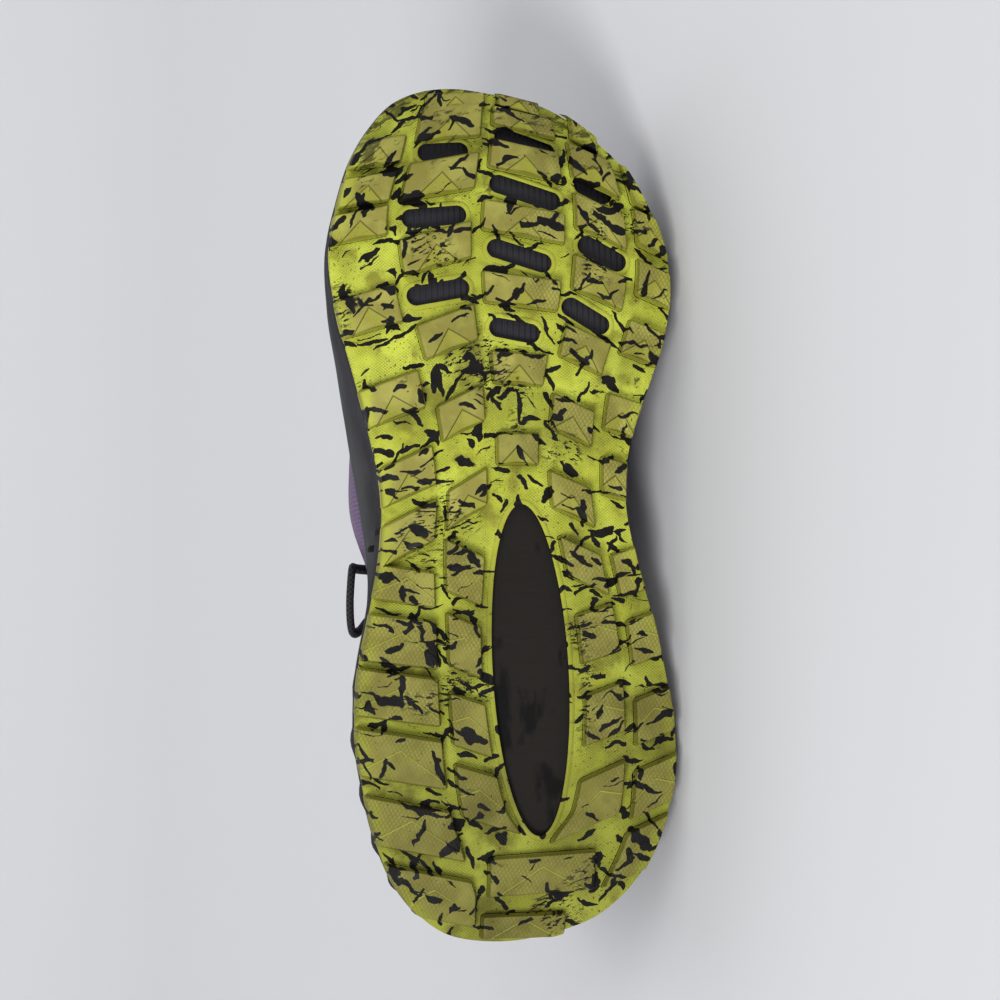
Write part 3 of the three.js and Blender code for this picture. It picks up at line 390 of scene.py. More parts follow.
def grid_faces(rows, columns, loop_rows=False, loop_columns=False, start=0):
    """Quads over a grid of points, also from the last row or column back to the first if asked."""
    faces = []
    for i in range(rows if loop_rows else rows - 1):
        for j in range(columns if loop_columns else columns - 1):
            a, b = i * columns + j, ((i + 1) % rows) * columns + j
            c, d = ((i + 1) % rows) * columns + (j + 1) % columns, i * columns + (j + 1) % columns
            faces.append((start + a, start + b, start + c, start + d))
    return faces


def whole_turn(steps):
    """Even angles over a whole turn."""
    return np.arange(steps) / steps * 2 * math.pi


def prism_faces(n, start):
    """The two ends and the sides of a prism whose points are one ring of n and then the other."""
    ends = [tuple(range(start, start + n))[::-1], tuple(range(start + n, start + 2 * n))]
    after = [(i + 1) % n for i in range(n)]
    return ends + [(start + i, start + j, start + n + j, start + n + i) for i, j in enumerate(after)]


def capped_faces(rows, columns):
    """Faces of a closed tube over a grid: its columns close into rings, and both ends are filled."""
    ends = [tuple(range(columns)), tuple(range((rows - 1) * columns, rows * columns))[::-1]]
    return grid_faces(rows, columns, loop_columns=True) + ends


def mark(obj):
    """Writes the attributes that the finishes read."""
    mesh = obj.data
    place = np.empty(len(mesh.vertices) * 3)
    mesh.vertices.foreach_get("co", place)
    shoe = to_shoe(place.reshape(-1, 3))
    x, y, z = shoe.T
    from_edge = np.minimum(y - inner_y(x), outer_y(x) - y)
    rise = np.clip((underside(x, y) - z) / LUG_HEIGHT, 0, 1)
    hole = (z > underside(x, y) + WINDOW_DEPTH) & (from_edge > WINDOW_MARGIN)
    rise = np.where(hole, IN_WINDOW, rise)
    bend = np.hypot(y, FLOW_BLUNT) * np.interp(share_of(x), *FLOW_BEND)
    flow = np.stack([y, x + bend, z], axis=1)
    for name, values in (("shoe", shoe), ("flow", flow)):
        layer = mesh.attributes.new(name, "FLOAT_VECTOR", "POINT")
        layer.data.foreach_set("vector", values.ravel() / 1000)
    side = np.clip(from_edge, 0, SIDE_LIMIT) / 1000
    for name, values in (("rise", rise), ("side", side)):
        mesh.attributes.new(name, "FLOAT", "POINT").data.foreach_set("value", values)


def make(name, points, faces, materials, pick=None, **own):
    """An object from points on the shoe's axes. pick says which material each face takes. Any other
    argument is an attribute, such as the place of each point on its own lug or along the cloth."""
    mesh = bpy.data.meshes.new(name)
    mesh.from_pydata(to_frame(points).tolist(), [], faces)
    for material in materials:
        mesh.materials.append(material)
    if pick is not None:
        mesh.polygons.foreach_set("material_index", np.asarray(pick, np.int32))
    mesh.polygons.foreach_set("use_smooth", [True] * len(mesh.polygons))
    for key, values in own.items():
        mesh.attributes.new(key, "FLOAT_VECTOR", "POINT").data.foreach_set("vector", np.ravel(values))
    obj = bpy.data.objects.new(name, mesh)
    bpy.context.scene.collection.objects.link(obj)
    return obj


def tidy_mesh(obj):
    """Merges doubled corners, drops faces with no area and turns the rest outwards."""
    work = bmesh.new()
    work.from_mesh(obj.data)
    bmesh.ops.remove_doubles(work, verts=work.verts, dist=2e-6)
    flat = [f for f in work.faces if f.calc_area() < 1e-14]
    bmesh.ops.delete(work, geom=flat, context="FACES_ONLY")
    bmesh.ops.recalc_face_normals(work, faces=work.faces)
    work.to_mesh(obj.data)
    work.free()


def bake(obj):
    """Turns the modifiers' result into a plain mesh."""
    graph = bpy.context.evaluated_depsgraph_get()
    mesh = bpy.data.meshes.new_from_object(obj.evaluated_get(graph))
    obj.modifiers.clear()
    obj.data = mesh


def cut_away(obj, cutter):
    """Cuts the cutter's shape out of the piece, and removes the cutter."""
    hole = obj.modifiers.new("holes", "BOOLEAN")
    hole.operation = "DIFFERENCE"
    hole.solver = "EXACT"
    hole.object = cutter
    bake(obj)
    bpy.data.objects.remove(cutter)


def sharpen(obj, degrees):
    """Keeps edges that bend by more than this crisp, and shades the rest smoothly."""
    obj.data.polygons.foreach_set("use_smooth", [True] * len(obj.data.polygons))
    obj.data.set_sharp_from_angle(angle=math.radians(degrees))


def hand_in(obj, slot, *nodes):
    """The piece rides on the shoe and stands for CAD nodes, which are hidden. slot is not used."""
    mark(obj)
    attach(obj, "root")
    if nodes:
        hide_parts(*nodes)
    print(obj.name, len(obj.data.polygons), "faces")


# %% [markdown]
# ## Finishes
# Every finish is a small tree of nodes. Colours are the sRGB values that a photo shows, turned to
# linear. The scale of each pattern comes from a real size in millimetres.

# %% Helpers for finishes
MM = 0.001


def hex_colour(text):
    """An sRGB hex value as linear red, green, blue and alpha."""
    values = [int(text[i:i + 2], 16) / 255 for i in (1, 3, 5)]
    linear = [v / 12.92 if v <= 0.04045 else ((v + 0.055) / 1.055) ** 2.4 for v in values]
    return (*linear, 1.0)


def new_material(name, roughness, specular):
    """A material and its tree, with a shader that has these plain values."""
    material = bpy.data.materials.new(name)
    material.use_nodes = True
    shader = material.node_tree.nodes["Principled BSDF"]
    shader.inputs["Roughness"].default_value = roughness
    shader.inputs["Specular IOR Level"].default_value = specular
    return material, material.node_tree, shader


def node(tree, kind, links=None, inputs=None, **settings):
    """Adds a node with its settings, plain inputs and links, which name an output or are a socket."""
    made = tree.nodes.new(kind)
    for name, value in settings.items():
        setattr(made, name, value)
    for key, value in (inputs or {}).items():
        made.inputs[key].default_value = value
    for key, source in (links or {}).items():
        tree.links.new(source, made.inputs[key])
    return made


def attribute(tree, name):
    """A value that mark() or make() wrote on the mesh: a number for rise and side, otherwise a vector."""
    found = node(tree, "ShaderNodeAttribute", attribute_name=name)
    return found.outputs["Fac"] if name in ("rise", "side") else found.outputs["Vector"]


def stretched(tree, vector, size_mm, turn=0.0, shift=0.0):
    """Coordinates turned by some degrees, in which one unit is size_mm along each axis."""
    if isinstance(size_mm, (int, float)):
        size_mm = (size_mm,) * 3
    mapping = node(tree, "ShaderNodeMapping", {"Vector": vector}, vector_type="TEXTURE")
    mapping.inputs["Scale"].default_value = [size * MM for size in size_mm]
    mapping.inputs["Rotation"].default_value = (0, 0, math.radians(turn))
    mapping.inputs["Location"].default_value = (shift * MM, shift * 0.7 * MM, shift * 1.3 * MM)
    return mapping.outputs["Vector"]


def noise(tree, vector, detail=2.0, distortion=0.0, roughness=0.5):
    """A soft random pattern, with spots about one unit of the coordinates wide."""
    made = node(tree, "ShaderNodeTexNoise", {"Vector": vector}, {
        "Scale": 1.0, "Detail": detail, "Distortion": distortion, "Roughness": roughness})
    return made.outputs["Fac"]


def calc(tree, operation, a, b=0.0):
    made = node(tree, "ShaderNodeMath", operation=operation)
    for i, value in enumerate((a, b)):
        if isinstance(value, (int, float)):
            made.inputs[i].default_value = value
        else:
            tree.links.new(value, made.inputs[i])
    return made.outputs["Value"]


def joined(tree, operation, values):
    """One operation over two or more sockets or numbers, from the first to the last."""
    result = values[0]
    for value in values[1:]:
        result = calc(tree, operation, result, value)
    return result


def plus(tree, *values):
    return joined(tree, "ADD", values)


def minus(tree, *values):
    return joined(tree, "SUBTRACT", values)


def times(tree, *values):
    return joined(tree, "MULTIPLY", values)


def largest(tree, *values):
    return joined(tree, "MAXIMUM", values)


def size_of(tree, value):
    return calc(tree, "ABSOLUTE", value)


def fade(tree, value, low, high, out_low=0.0, out_high=1.0):
    """Eases from out_low to out_high while the value goes from low to high, and stays level past them."""
    made = node(tree, "ShaderNodeMapRange", {"Value": value}, {
        "From Min": low, "From Max": high, "To Min": out_low, "To Max": out_high},
        interpolation_type="SMOOTHSTEP")
    return made.outputs["Result"]


def mix(tree, factor, a, b):
    """Colour a where the factor is 0 and b where it is 1. A colour is a socket or a hex value."""
    made = node(tree, "ShaderNodeMix", data_type="RGBA")
    a, b = (hex_colour(colour) if isinstance(colour, str) else colour for colour in (a, b))
    for key, value in ((0, factor), (6, a), (7, b)):
        if isinstance(value, (int, float, tuple)):
            made.inputs[key].default_value = value
        else:
            tree.links.new(value, made.inputs[key])
    return made.outputs[2]


def bumped(tree, shader, height, distance_mm, strength=1.0, under=None):
    """Relief from a height between 0 and 1, on top of the relief under it if there is one."""
    made = node(tree, "ShaderNodeBump", {"Height": height}, {
        "Distance": distance_mm * MM, "Strength": strength})
    if under is not None:
        tree.links.new(under, made.inputs["Normal"])
    tree.links.new(made.outputs["Normal"], shader.inputs["Normal"])
    return made.outputs["Normal"]


def waves(tree, vector, pitch_mm, direction):
    """Parallel ridges, one pitch apart, on coordinates in metres."""
    made = node(tree, "ShaderNodeTexWave", {"Vector": vector}, {"Scale": math.pi / 10 / (pitch_mm * MM)},
                wave_type="BANDS", bands_direction=direction, wave_profile="SIN")
    return made.outputs["Fac"]


def crossed(tree, vector, pitch_mm, leans):
    """Two sets of ridges that cross, each turned by its lean in degrees: 1 only where both stand high."""
    return times(tree, *(waves(tree, stretched(tree, vector, 1000, lean), pitch_mm, "X") for lean in leans))


def bent(tree, vector, size_mm, reach_mm, shift):
    """The coordinates pushed about by a soft noise, so that what is drawn on them wanders."""
    push = node(tree, "ShaderNodeTexNoise", {"Vector": stretched(tree, vector, size_mm, 0, shift)},
                {"Scale": 1.0, "Detail": 2.0})
    centred = node(tree, "ShaderNodeVectorMath", {0: push.outputs["Color"]}, {1: (0.5, 0.5, 0.5)},
                   operation="SUBTRACT")
    scaled = node(tree, "ShaderNodeVectorMath", {0: centred.outputs["Vector"]},
                  {"Scale": reach_mm * MM}, operation="SCALE")
    moved = node(tree, "ShaderNodeVectorMath", {0: vector, 1: scaled.outputs["Vector"]}, operation="ADD")
    return moved.outputs["Vector"]


def split(tree, vector):
    """The sockets X, Y and Z of a vector."""
    return node(tree, "ShaderNodeSeparateXYZ", {"Vector": vector}).outputs


def root_of_squares(tree, a, b):
    return calc(tree, "SQRT", plus(tree, times(tree, a, a), times(tree, b, b)))


# %% [markdown]
# ### Moulded carbon rubber
# The tread is lime rubber from a mould whose floor has a fine diamond hatch. The faces of the lugs are
# worn to olive, and those that wear less still show a net. Black rubber was mixed in and smeared as it
# flowed. Streaks can be made by stretching a noise and keeping its highest parts, but that gives
# splinters. Here a random pattern of cells holds one short bar in each, drawn by its distance from the
# cell's point. The coordinates are bent first, so the bars come out as curved brush strokes.

# %% Colours of the tread, and sizes of its marks in millimetres and degrees
LIME = "#aeb43a"
LIME_DEEP = "#8d8d2f"
LIME_PALE = "#c3cc4a"
OLIVE = "#857f3a"
OLIVE_PALE = "#9a9648"
OLIVE_DARK = "#4c481c"
# The colour of the painted shade at the foot of a lug's wall
LUG_FOOT_SHADE = "#666026"
# Black of the streaks, also used as painted shade on the walls of the windows
STREAK_AND_SHADE = "#0e0c0b"
HATCH_PITCH = 0.75
HATCH_LEANS = (38, -38)
NET_PITCH = 1.15
NET_LEANS = (64, -52)

# The notch of a forefoot lug and the fold of a heel lug: where the tip is, and the fall to each side.
# The lug attribute's third number tells them apart, and is 0 where there is no lug.
NOTCH_TIP = 1.2
NOTCH_SLOPE = 1.05
FOLD_TIP = 2.6
FOLD_SLOPE = 0.62
FORE_LUG = 0.3
HEEL_LUG = 1.0

# One row for each layer of black strokes: size of the cells, length and thickness of a stroke, lean,
# spread of the leans, share of the cells that have a stroke, and a shift that sets the layers apart
STROKES = [
    (8.4, 7.6, 1.7, 10, 62, 0.62, 0),
    (10.5, 9.5, 1.9, -25, 50, 0.6, 140),
    (12.5, 9.5, 2.4, 60, 50, 0.5, 260),
    (8.0, 6.5, 0.8, 0, 40, 0.35, 410),
    (25.0, 10.0, 3.8, 30, 80, 0.45, 333),
]
STROKE_TAPER = 0.35
STROKE_RAGGED = 0.6
STROKE_SOFT = 0.12

# %% The finish of the tread


def strokes(tree, vector, ragged, cell_mm, long_mm, thick_mm, lean, spread, keep, shift):
    """A short thick stroke in some cells of a random pattern. Each is turned by chance within spread
    degrees of its lean, and its ends are blunt. ragged is a fine noise that roughens its edge."""
    scaled = stretched(tree, vector, cell_mm, 0, shift)
    cells = node(tree, "ShaderNodeTexVoronoi", {"Vector": scaled}, {"Scale": 1.0, "Randomness": 0.85},
                 voronoi_dimensions="2D", feature="F1")
    away = node(tree, "ShaderNodeVectorMath", {0: scaled, 1: cells.outputs["Position"]}, operation="SUBTRACT")
    chance = split(tree, cells.outputs["Color"])
    by_chance = times(tree, minus(tree, chance["X"], 0.5), math.radians(2 * spread))
    turned = node(tree, "ShaderNodeVectorRotate", {
        "Vector": away.outputs["Vector"], "Angle": plus(tree, by_chance, math.radians(lean))},
        rotation_type="Z_AXIS")
    at = split(tree, turned.outputs["Vector"])
    along = size_of(tree, at["X"])
    half = fade(tree, chance["Y"], 0.0, 1.0, long_mm / cell_mm * 0.2, long_mm / cell_mm * 0.5)
    gap = root_of_squares(tree, largest(tree, minus(tree, along, half), 0.0), at["Y"])
    # A stroke thins towards its ends, and a long one is thinner than a short one
    to_end = calc(tree, "POWER", calc(tree, "MINIMUM", calc(tree, "DIVIDE", along, half), 1.0), 2.0)
    thick = times(tree, minus(tree, 1.0, times(tree, to_end, STROKE_TAPER)), thick_mm / cell_mm / 2,
                  fade(tree, chance["Y"], 0.0, 1.0, 1.15, 0.8))
    rough = times(tree, minus(tree, ragged, 0.5), STROKE_RAGGED / cell_mm)
    drawn = fade(tree, minus(tree, plus(tree, thick, rough), gap), 0.0, STROKE_SOFT / cell_mm)
    return times(tree, drawn, calc(tree, "LESS_THAN", chance["Z"], keep))


def worn_colours_and_foot_shade(tree, rise, face_share, cloud, rubbed):
    """Lime between the lugs, walls with painted shade at their foot, and olive faces with some lime near the
    sole's edge.
    """
    ground = mix(tree, fade(tree, cloud, 0.4, 0.62), LIME, LIME_PALE)
    ground = mix(tree, fade(tree, rubbed, 0.5, 0.68), ground, LIME_DEEP)
    # Painted shade: the ground darkens where it meets a lug, and the walls darken towards their foot
    ground = mix(tree, fade(tree, rise, 0.02, 0.08, 0.0, 0.5), ground, LIME_DEEP)
    wall = mix(tree, fade(tree, rise, 0.05, 0.35), LUG_FOOT_SHADE, LIME_DEEP)
    face = mix(tree, fade(tree, rubbed, 0.35, 0.6), OLIVE_PALE, OLIVE)
    at_edge = fade(tree, attribute(tree, "side"), 7 * MM, 2 * MM)
    face = mix(tree, times(tree, at_edge, fade(tree, cloud, 0.36, 0.56), 0.75), face, LIME)
    colour = mix(tree, fade(tree, rise, 0.13, 0.2), ground, wall)
    return mix(tree, face_share, colour, face)


def dirt_and_end_shade(tree, place):
    """Dark grime in patches, and painted shade that darkens the tread towards the heel and at the toe."""
    x = split(tree, place)["X"]
    patches = fade(tree, noise(tree, stretched(tree, place, 30, 0, 9), 6.0), 0.5, 0.72, 0.0, 0.4)
    # Painted shade: the tread darkens towards the heel, and a little at the toe
    heel = fade(tree, x, 170 * MM, 30 * MM, 0.0, 0.54)
    toe = fade(tree, x, 210 * MM, 250 * MM, 0.0, 0.1)
    return plus(tree, patches, heel, toe)


def lug_marks(tree):
    """The moulded marks of a lug, drawn on its own coordinates: x across and y along in metres from its
    middle, z for its kind. Gives how far inside the notch a point is and whether the lug has one, then
    how far the point is from the line of the fold and whether the lug has that."""
    lug = split(tree, attribute(tree, "lug"))
    side = size_of(tree, lug["X"])
    inside = minus(tree, NOTCH_TIP * MM, times(tree, side, NOTCH_SLOPE), lug["Y"])
    from_fold = size_of(tree, minus(tree, FOLD_TIP * MM, lug["Y"], times(tree, side, FOLD_SLOPE)))
    folded = calc(tree, "GREATER_THAN", lug["Z"], (FORE_LUG + HEEL_LUG) / 2)
    on_lug = calc(tree, "GREATER_THAN", lug["Z"], FORE_LUG / 2)
    return inside, times(tree, on_lug, minus(tree, 1.0, folded)), from_fold, folded


def black_marks(tree, place, flow, low):
    """Smears in one socket, and in the other what is fully black: strokes, cracks, specks and pits."""
    x = split(tree, place)["X"]
    ragged = noise(tree, stretched(tree, place, 1.3, 0, 17), 2.0)
    wander = bent(tree, bent(tree, flow, 8, 7, 3), 4.5, 1.9, 60)
    drawn = [strokes(tree, wander, ragged, *row) for row in STROKES]

    torn = stretched(tree, bent(tree, flow, 1.2, 0.8, 80), (2.4, 1.0, 60), 8, 410)
    patch = fade(tree, noise(tree, stretched(tree, place, 26, 0, 21), 2.0), 0.6, 0.66)
    cracks = times(tree, fade(tree, noise(tree, torn, 4.0, 0.3, 0.6), 0.54, 0.56), patch)
    specks = fade(tree, noise(tree, stretched(tree, place, 0.9, 0, 6), 2.0), 0.71, 0.74)
    grime = fade(tree, noise(tree, stretched(tree, place, 15, 0, 610), 3.0), 0.46, 0.6)
    pits = fade(tree, noise(tree, stretched(tree, place, 0.8, 0, 44), 2.0), 0.63, 0.68, 0.0, 0.85)
    pits = times(tree, pits, low, grime)

    # There are more smears at the toe and along the edge of the forefoot
    smears = noise(tree, stretched(tree, wander, (9, 3, 60), 12, 520), 5.0, 0.2, 0.7)
    toe = fade(tree, x, 235 * MM, 270 * MM, 0.0, 0.1)
    edge = times(tree, fade(tree, attribute(tree, "side"), 14 * MM, 5 * MM, 0.0, 0.08),
                 fade(tree, x, 180 * MM, 200 * MM))
    smears = fade(tree, plus(tree, smears, toe, edge), 0.645, 0.74, 0.0, 0.75)
    return smears, largest(tree, *drawn, cracks, specks, pits)


def tread_rubber():
    material, tree, shader = new_material("moulded_rubber", 0.66, 0.16)
    place, flow, rise = (attribute(tree, name) for name in ("shoe", "flow", "rise"))
    cloud = noise(tree, stretched(tree, place, 22), 3.0)
    rubbed = noise(tree, stretched(tree, place, 9, 0, 40), 5.0)
    low = minus(tree, 1.0, fade(tree, rise, 0.02, 0.06))
    face_share = fade(tree, rise, 0.5, 0.68)
    colour = worn_colours_and_foot_shade(tree, rise, face_share, cloud, rubbed)
    # Grime in patches, and painted shade towards the heel and the toe
    colour = mix(tree, dirt_and_end_shade(tree, place), colour, OLIVE_DARK)

    # What the mould left: a hatch on the floor, and a net where the faces are less worn
    crooked = bent(tree, place, 4, 0.5, 70)
    hatch = crossed(tree, crooked, HATCH_PITCH, HATCH_LEANS)
    net = crossed(tree, crooked, NET_PITCH, NET_LEANS)
    inside, notched, from_fold, folded = lug_marks(tree)
    shown = fade(tree, noise(tree, stretched(tree, place, 7, 0, 55), 3.0), 0.4, 0.62, 0.1, 0.45)
    hatched = times(tree, fade(tree, hatch, 0.3, 0.02), low, shown)
    unworn = largest(tree, folded, fade(tree, split(tree, place)["Y"], 0.0, 12 * MM))
    netted = times(tree, face_share, unworn, fade(tree, cloud, 0.62, 0.5, 0.3, 1.0))
    ridged = times(tree, netted, fade(tree, net, 0.35, 0.02, 0.0, 0.38))
    colour = mix(tree, largest(tree, hatched, ridged), colour, OLIVE_DARK)

    # The notch has lime in it and a dark rim of painted shade along its edges, and the fold is a pale line
    in_notch = times(tree, fade(tree, inside, 0.0, 0.25 * MM), notched, face_share)
    rim = times(tree, fade(tree, size_of(tree, inside), 0.4 * MM, 0.1 * MM), notched, face_share)
    line = times(tree, fade(tree, from_fold, 0.35 * MM, 0.1 * MM), folded, face_share)
    colour = mix(tree, times(tree, in_notch, fade(tree, rubbed, 0.35, 0.6, 0.2, 0.75)), colour, LIME_DEEP)
    colour = mix(tree, times(tree, rim, 0.75), colour, OLIVE_DARK)
    colour = mix(tree, times(tree, line, 0.22), colour, LIME_PALE)

    smears, marks = black_marks(tree, place, flow, low)
    colour = mix(tree, smears, colour, STREAK_AND_SHADE)
    colour = mix(tree, marks, colour, STREAK_AND_SHADE)
    # Painted shade: the walls of the windows and the inner sides of their lips are near black
    colour = mix(tree, calc(tree, "LESS_THAN", rise, WINDOW_LIMIT), colour, STREAK_AND_SHADE)
    tree.links.new(colour, shader.inputs["Base Color"])

    relief = bumped(tree, shader, times(tree, hatch, low), 0.22, 0.7)
    relief = bumped(tree, shader, times(tree, net, netted), 0.14, 0.6, relief)
    drop = minus(tree, 1.0, times(tree, fade(tree, inside, 0.0, 0.5 * MM), notched))
    ridge = times(tree, fade(tree, from_fold, 0.6 * MM, 0.0), folded, 0.5)
    relief = bumped(tree, shader, plus(tree, drop, ridge), 0.6, 0.9, relief)
    bumped(tree, shader, noise(tree, stretched(tree, place, 0.6), 3.0), 0.1, 0.4, relief)
    rough = fade(tree, noise(tree, stretched(tree, place, 5, 0, 2), 3.0), 0.3, 0.7, 0.5, 0.75)
    tree.links.new(rough, shader.inputs["Roughness"])
    return material


RUBBER_FINISH = tread_rubber()

# %% [markdown]
# ## The tread's base
# The rubber between the lugs is a thin slab that follows the bottom of the midsole, with ten small
# windows under the ball and one long window under the heel. The slab is two grids with a rim between
# them, and a Boolean modifier cuts the windows.

# %% Windows
WINDOWS = table("at across long slant", [
    (0.918, -0.34, 0.150, 4),
    (0.840, -0.40, 0.190, 6),
    (0.752, -0.38, 0.185, 11),
    (0.929, 0.14, 0.185, -20),
    (0.871, 0.13, 0.215, -18),
    (0.796, 0.09, 0.195, -17),
    (0.709, 0.06, 0.150, -10),
    (0.876, 0.53, 0.120, -27),
    (0.800, 0.57, 0.155, -29),
    (0.727, 0.47, 0.155, -31),
])
HEEL_WINDOW = (0.319, 0.17, 93.7)
WINDOW_STEPS = 40
HEEL_WINDOW_STEPS = 120


def slot_points(long, wide):
    """Two half circles with straight sides between them."""
    a = whole_turn(WINDOW_STEPS)
    reach = np.sign(np.round(np.cos(a), 9)) * (long - wide) / 2
    return np.stack([np.cos(a) * wide / 2 + reach, np.sin(a) * wide / 2], axis=1)


def oval_points(long, wide):
    a = whole_turn(HEEL_WINDOW_STEPS)
    return np.stack([np.cos(a) * long / 2, np.sin(a) * wide / 2], axis=1)


def placed(points, at, across, slant):
    """Turned to its slant from straight across the sole, at its place on the tread."""
    turn = math.pi / 2 - math.radians(slant)
    c, s = math.cos(turn), math.sin(turn)
    x, y = points.T
    return np.stack([x * c - y * s, x * s + y * c], axis=1) + [at * LENGTH, across * HALF_BALL]


WINDOW_OUTLINES = [
    placed(slot_points(long * BALL_WIDTH, WINDOW_WIDTH), at, across, slant)
    for at, across, long, slant in zip(*WINDOWS.values())]
WINDOW_OUTLINES.append(placed(oval_points(HEEL_WINDOW_LENGTH, HEEL_WINDOW_WIDTH), *HEEL_WINDOW))

# %% The slab with its windows
STATIONS = 150
SPANS = 64
INSET_BELOW = 0.7
INSET_ABOVE = 0.5
CUTTER_SPAN = (-10, 60)


def slab(lower, upper):
    """A closed slab over the sole's outline: a lower and an upper face, and a rim between them."""
    angles = np.linspace(0, math.pi, STATIONS + 1)
    share = np.linspace(0, 1, SPANS + 1)[None, :, None]
    n = (STATIONS + 1) * (SPANS + 1)
    points, faces = [], []
    for height, inset, start, turn in ((lower, INSET_BELOW, 0, -1), (upper, INSET_ABOVE, n, 1)):
        a, b = outline(angles, -inset), outline(-angles, -inset)
        face = a[:, None, :] * (1 - share) + b[:, None, :] * share
        face[..., 2] = height(face[..., 0], face[..., 1])
        points.append(face.reshape(-1, 3))
        faces += [quad[::turn] for quad in grid_faces(STATIONS + 1, SPANS + 1, start=start)]
    for side, turn in ((0, 1), (SPANS, -1)):
        for i in range(STATIONS):
            a, b = i * (SPANS + 1) + side, (i + 1) * (SPANS + 1) + side
            faces.append((a, b, b + n, a + n)[::turn])
    return np.concatenate(points), faces


def prisms(outlines):
    """Upright prisms over the outlines, as one mesh."""
    points, faces, start = [], [], 0
    for ring in outlines:
        n = len(ring)
        points += [np.column_stack([ring, np.full(n, height)]) for height in CUTTER_SPAN]
        faces += prism_faces(n, start)
        start += 2 * n
    return np.concatenate(points), faces


def tread_base():
    points, faces = slab(underside, lambda x, y: underside(x, y) + RUBBER)
    base = make("tread", points, faces, [RUBBER_FINISH])
    tidy_mesh(base)
    cutter = make("window_cutter", *prisms(WINDOW_OUTLINES), [RUBBER_FINISH])
    tidy_mesh(cutter)
    cut_away(base, cutter)
    return base


# %% [markdown]
# ## Lugs
# Each lug fills the space between two lengthwise grooves and two cross grooves. Its sides are drafted so
# that it leaves the mould, and its corners are rounded. Every lug is the same small grid, laid over its
# own four corners. A forefoot lug also has a notch sunk into its face.

# %% Where the lugs are
GROOVES = table("at outer_medial inner_medial inner_lateral outer_lateral", [
    (0.06, -0.10, 0.20, 0.23, 0.55),
    (0.12, -0.20, 0.18, 0.26, 0.68),
    (0.16, -0.26, 0.06, 0.39, 0.73),
    (0.26, -0.32, -0.05, 0.45, 0.745),
    (0.36, -0.345, -0.09, 0.41, 0.70),
    (0.45, -0.36, -0.07, 0.32, 0.60),
    (0.53, -0.35, -0.06, 0.24, 0.54),
    (0.64, -0.44, -0.09, 0.25, 0.57),
    (0.75, -0.59, -0.15, 0.35, 0.725),
    (0.84, -0.64, -0.155, 0.385, 0.735),
    (0.92, -0.54, -0.10, 0.36, 0.66),
    (1.00, -0.46, -0.06, 0.30, 0.56),
])
EDGE = "edge"

# The two lines beside a row of lugs, the slant at either end of the row, the length of a lug, and places
LUGS = [
    (EDGE, "outer_medial", (28, 17), 0.050, (0.475, 0.540, 0.628, 0.728)),
    (EDGE, "outer_medial", (12, 8), 0.038, (0.828, 0.870, 0.916)),
    ("outer_medial", "inner_medial", (32, 8), 0.047, (0.516, 0.613, 0.705, 0.802, 0.888, 0.955)),
    ("inner_medial", "inner_lateral", (0, -12), 0.040, (0.573, 0.665, 0.754, 0.836, 0.910)),
    ("inner_medial", "inner_lateral", (-13, -13), 0.028, (0.957,)),
    ("inner_lateral", "outer_lateral", (-24, -24), 0.045,
     (0.440, 0.517, 0.607, 0.688, 0.765, 0.838, 0.900)),
    ("outer_lateral", EDGE, (-14, -26), 0.047, (0.540, 0.612, 0.696, 0.765, 0.826, 0.880)),
    (EDGE, "outer_medial", (-12, -6), 0.058, (0.057, 0.138, 0.218, 0.288, 0.352)),
    (EDGE, "outer_medial", (-8, -8), 0.044, (0.415,)),
    ("outer_medial", "inner_medial", (-16, -24), 0.062, (0.174, 0.257, 0.347, 0.430)),
    ("inner_lateral", "outer_lateral", (24, 18), 0.062, (0.174, 0.270, 0.362)),
    ("outer_lateral", EDGE, (24, 18), 0.057, (0.112, 0.186, 0.268, 0.356, 0.432)),
]

# Single lugs at the toe and heel: place, length, the two sides and the slant
CROSS_LUGS = [
    (0.982, 0.024, -0.44, -0.08, 4),
    (0.979, 0.022, -0.02, 0.24, -16),
    (0.945, 0.036, 0.40, 0.58, -26),
    (0.085, 0.050, -0.07, 0.56, 4),
    (0.022, 0.034, -0.10, 0.40, 2),
]

# %% One lug as a grid

# The sides of a lug: how far in from its edge, and the share of its height there
SHOULDER = (0.0, 0.9, 1.0, 1.25)
SHOULDER_RISE = (-0.15, 0.9, 0.975, 1.0)
CORNER = 1.3
INSIDE = 18
LINE_MARGIN = 0.2
END_MARGIN = 1.5
POINT_MARGIN_X = 0.4
POINT_MARGIN_Y = 0.15
NOTCH_FALL = 0.22
NOTCH_DEPTH = 1.3
HEEL_PART = 0.46


def groove_line(name, side):
    """The side of a row of lugs as a function of x."""
    if name == EDGE:
        return (lambda x: inner_y(x) + LINE_MARGIN) if side < 0 else (lambda x: outer_y(x) - LINE_MARGIN)
    return lambda x: column(GROOVES, share_of(x), name) * HALF_BALL - side * GROOVE / 2


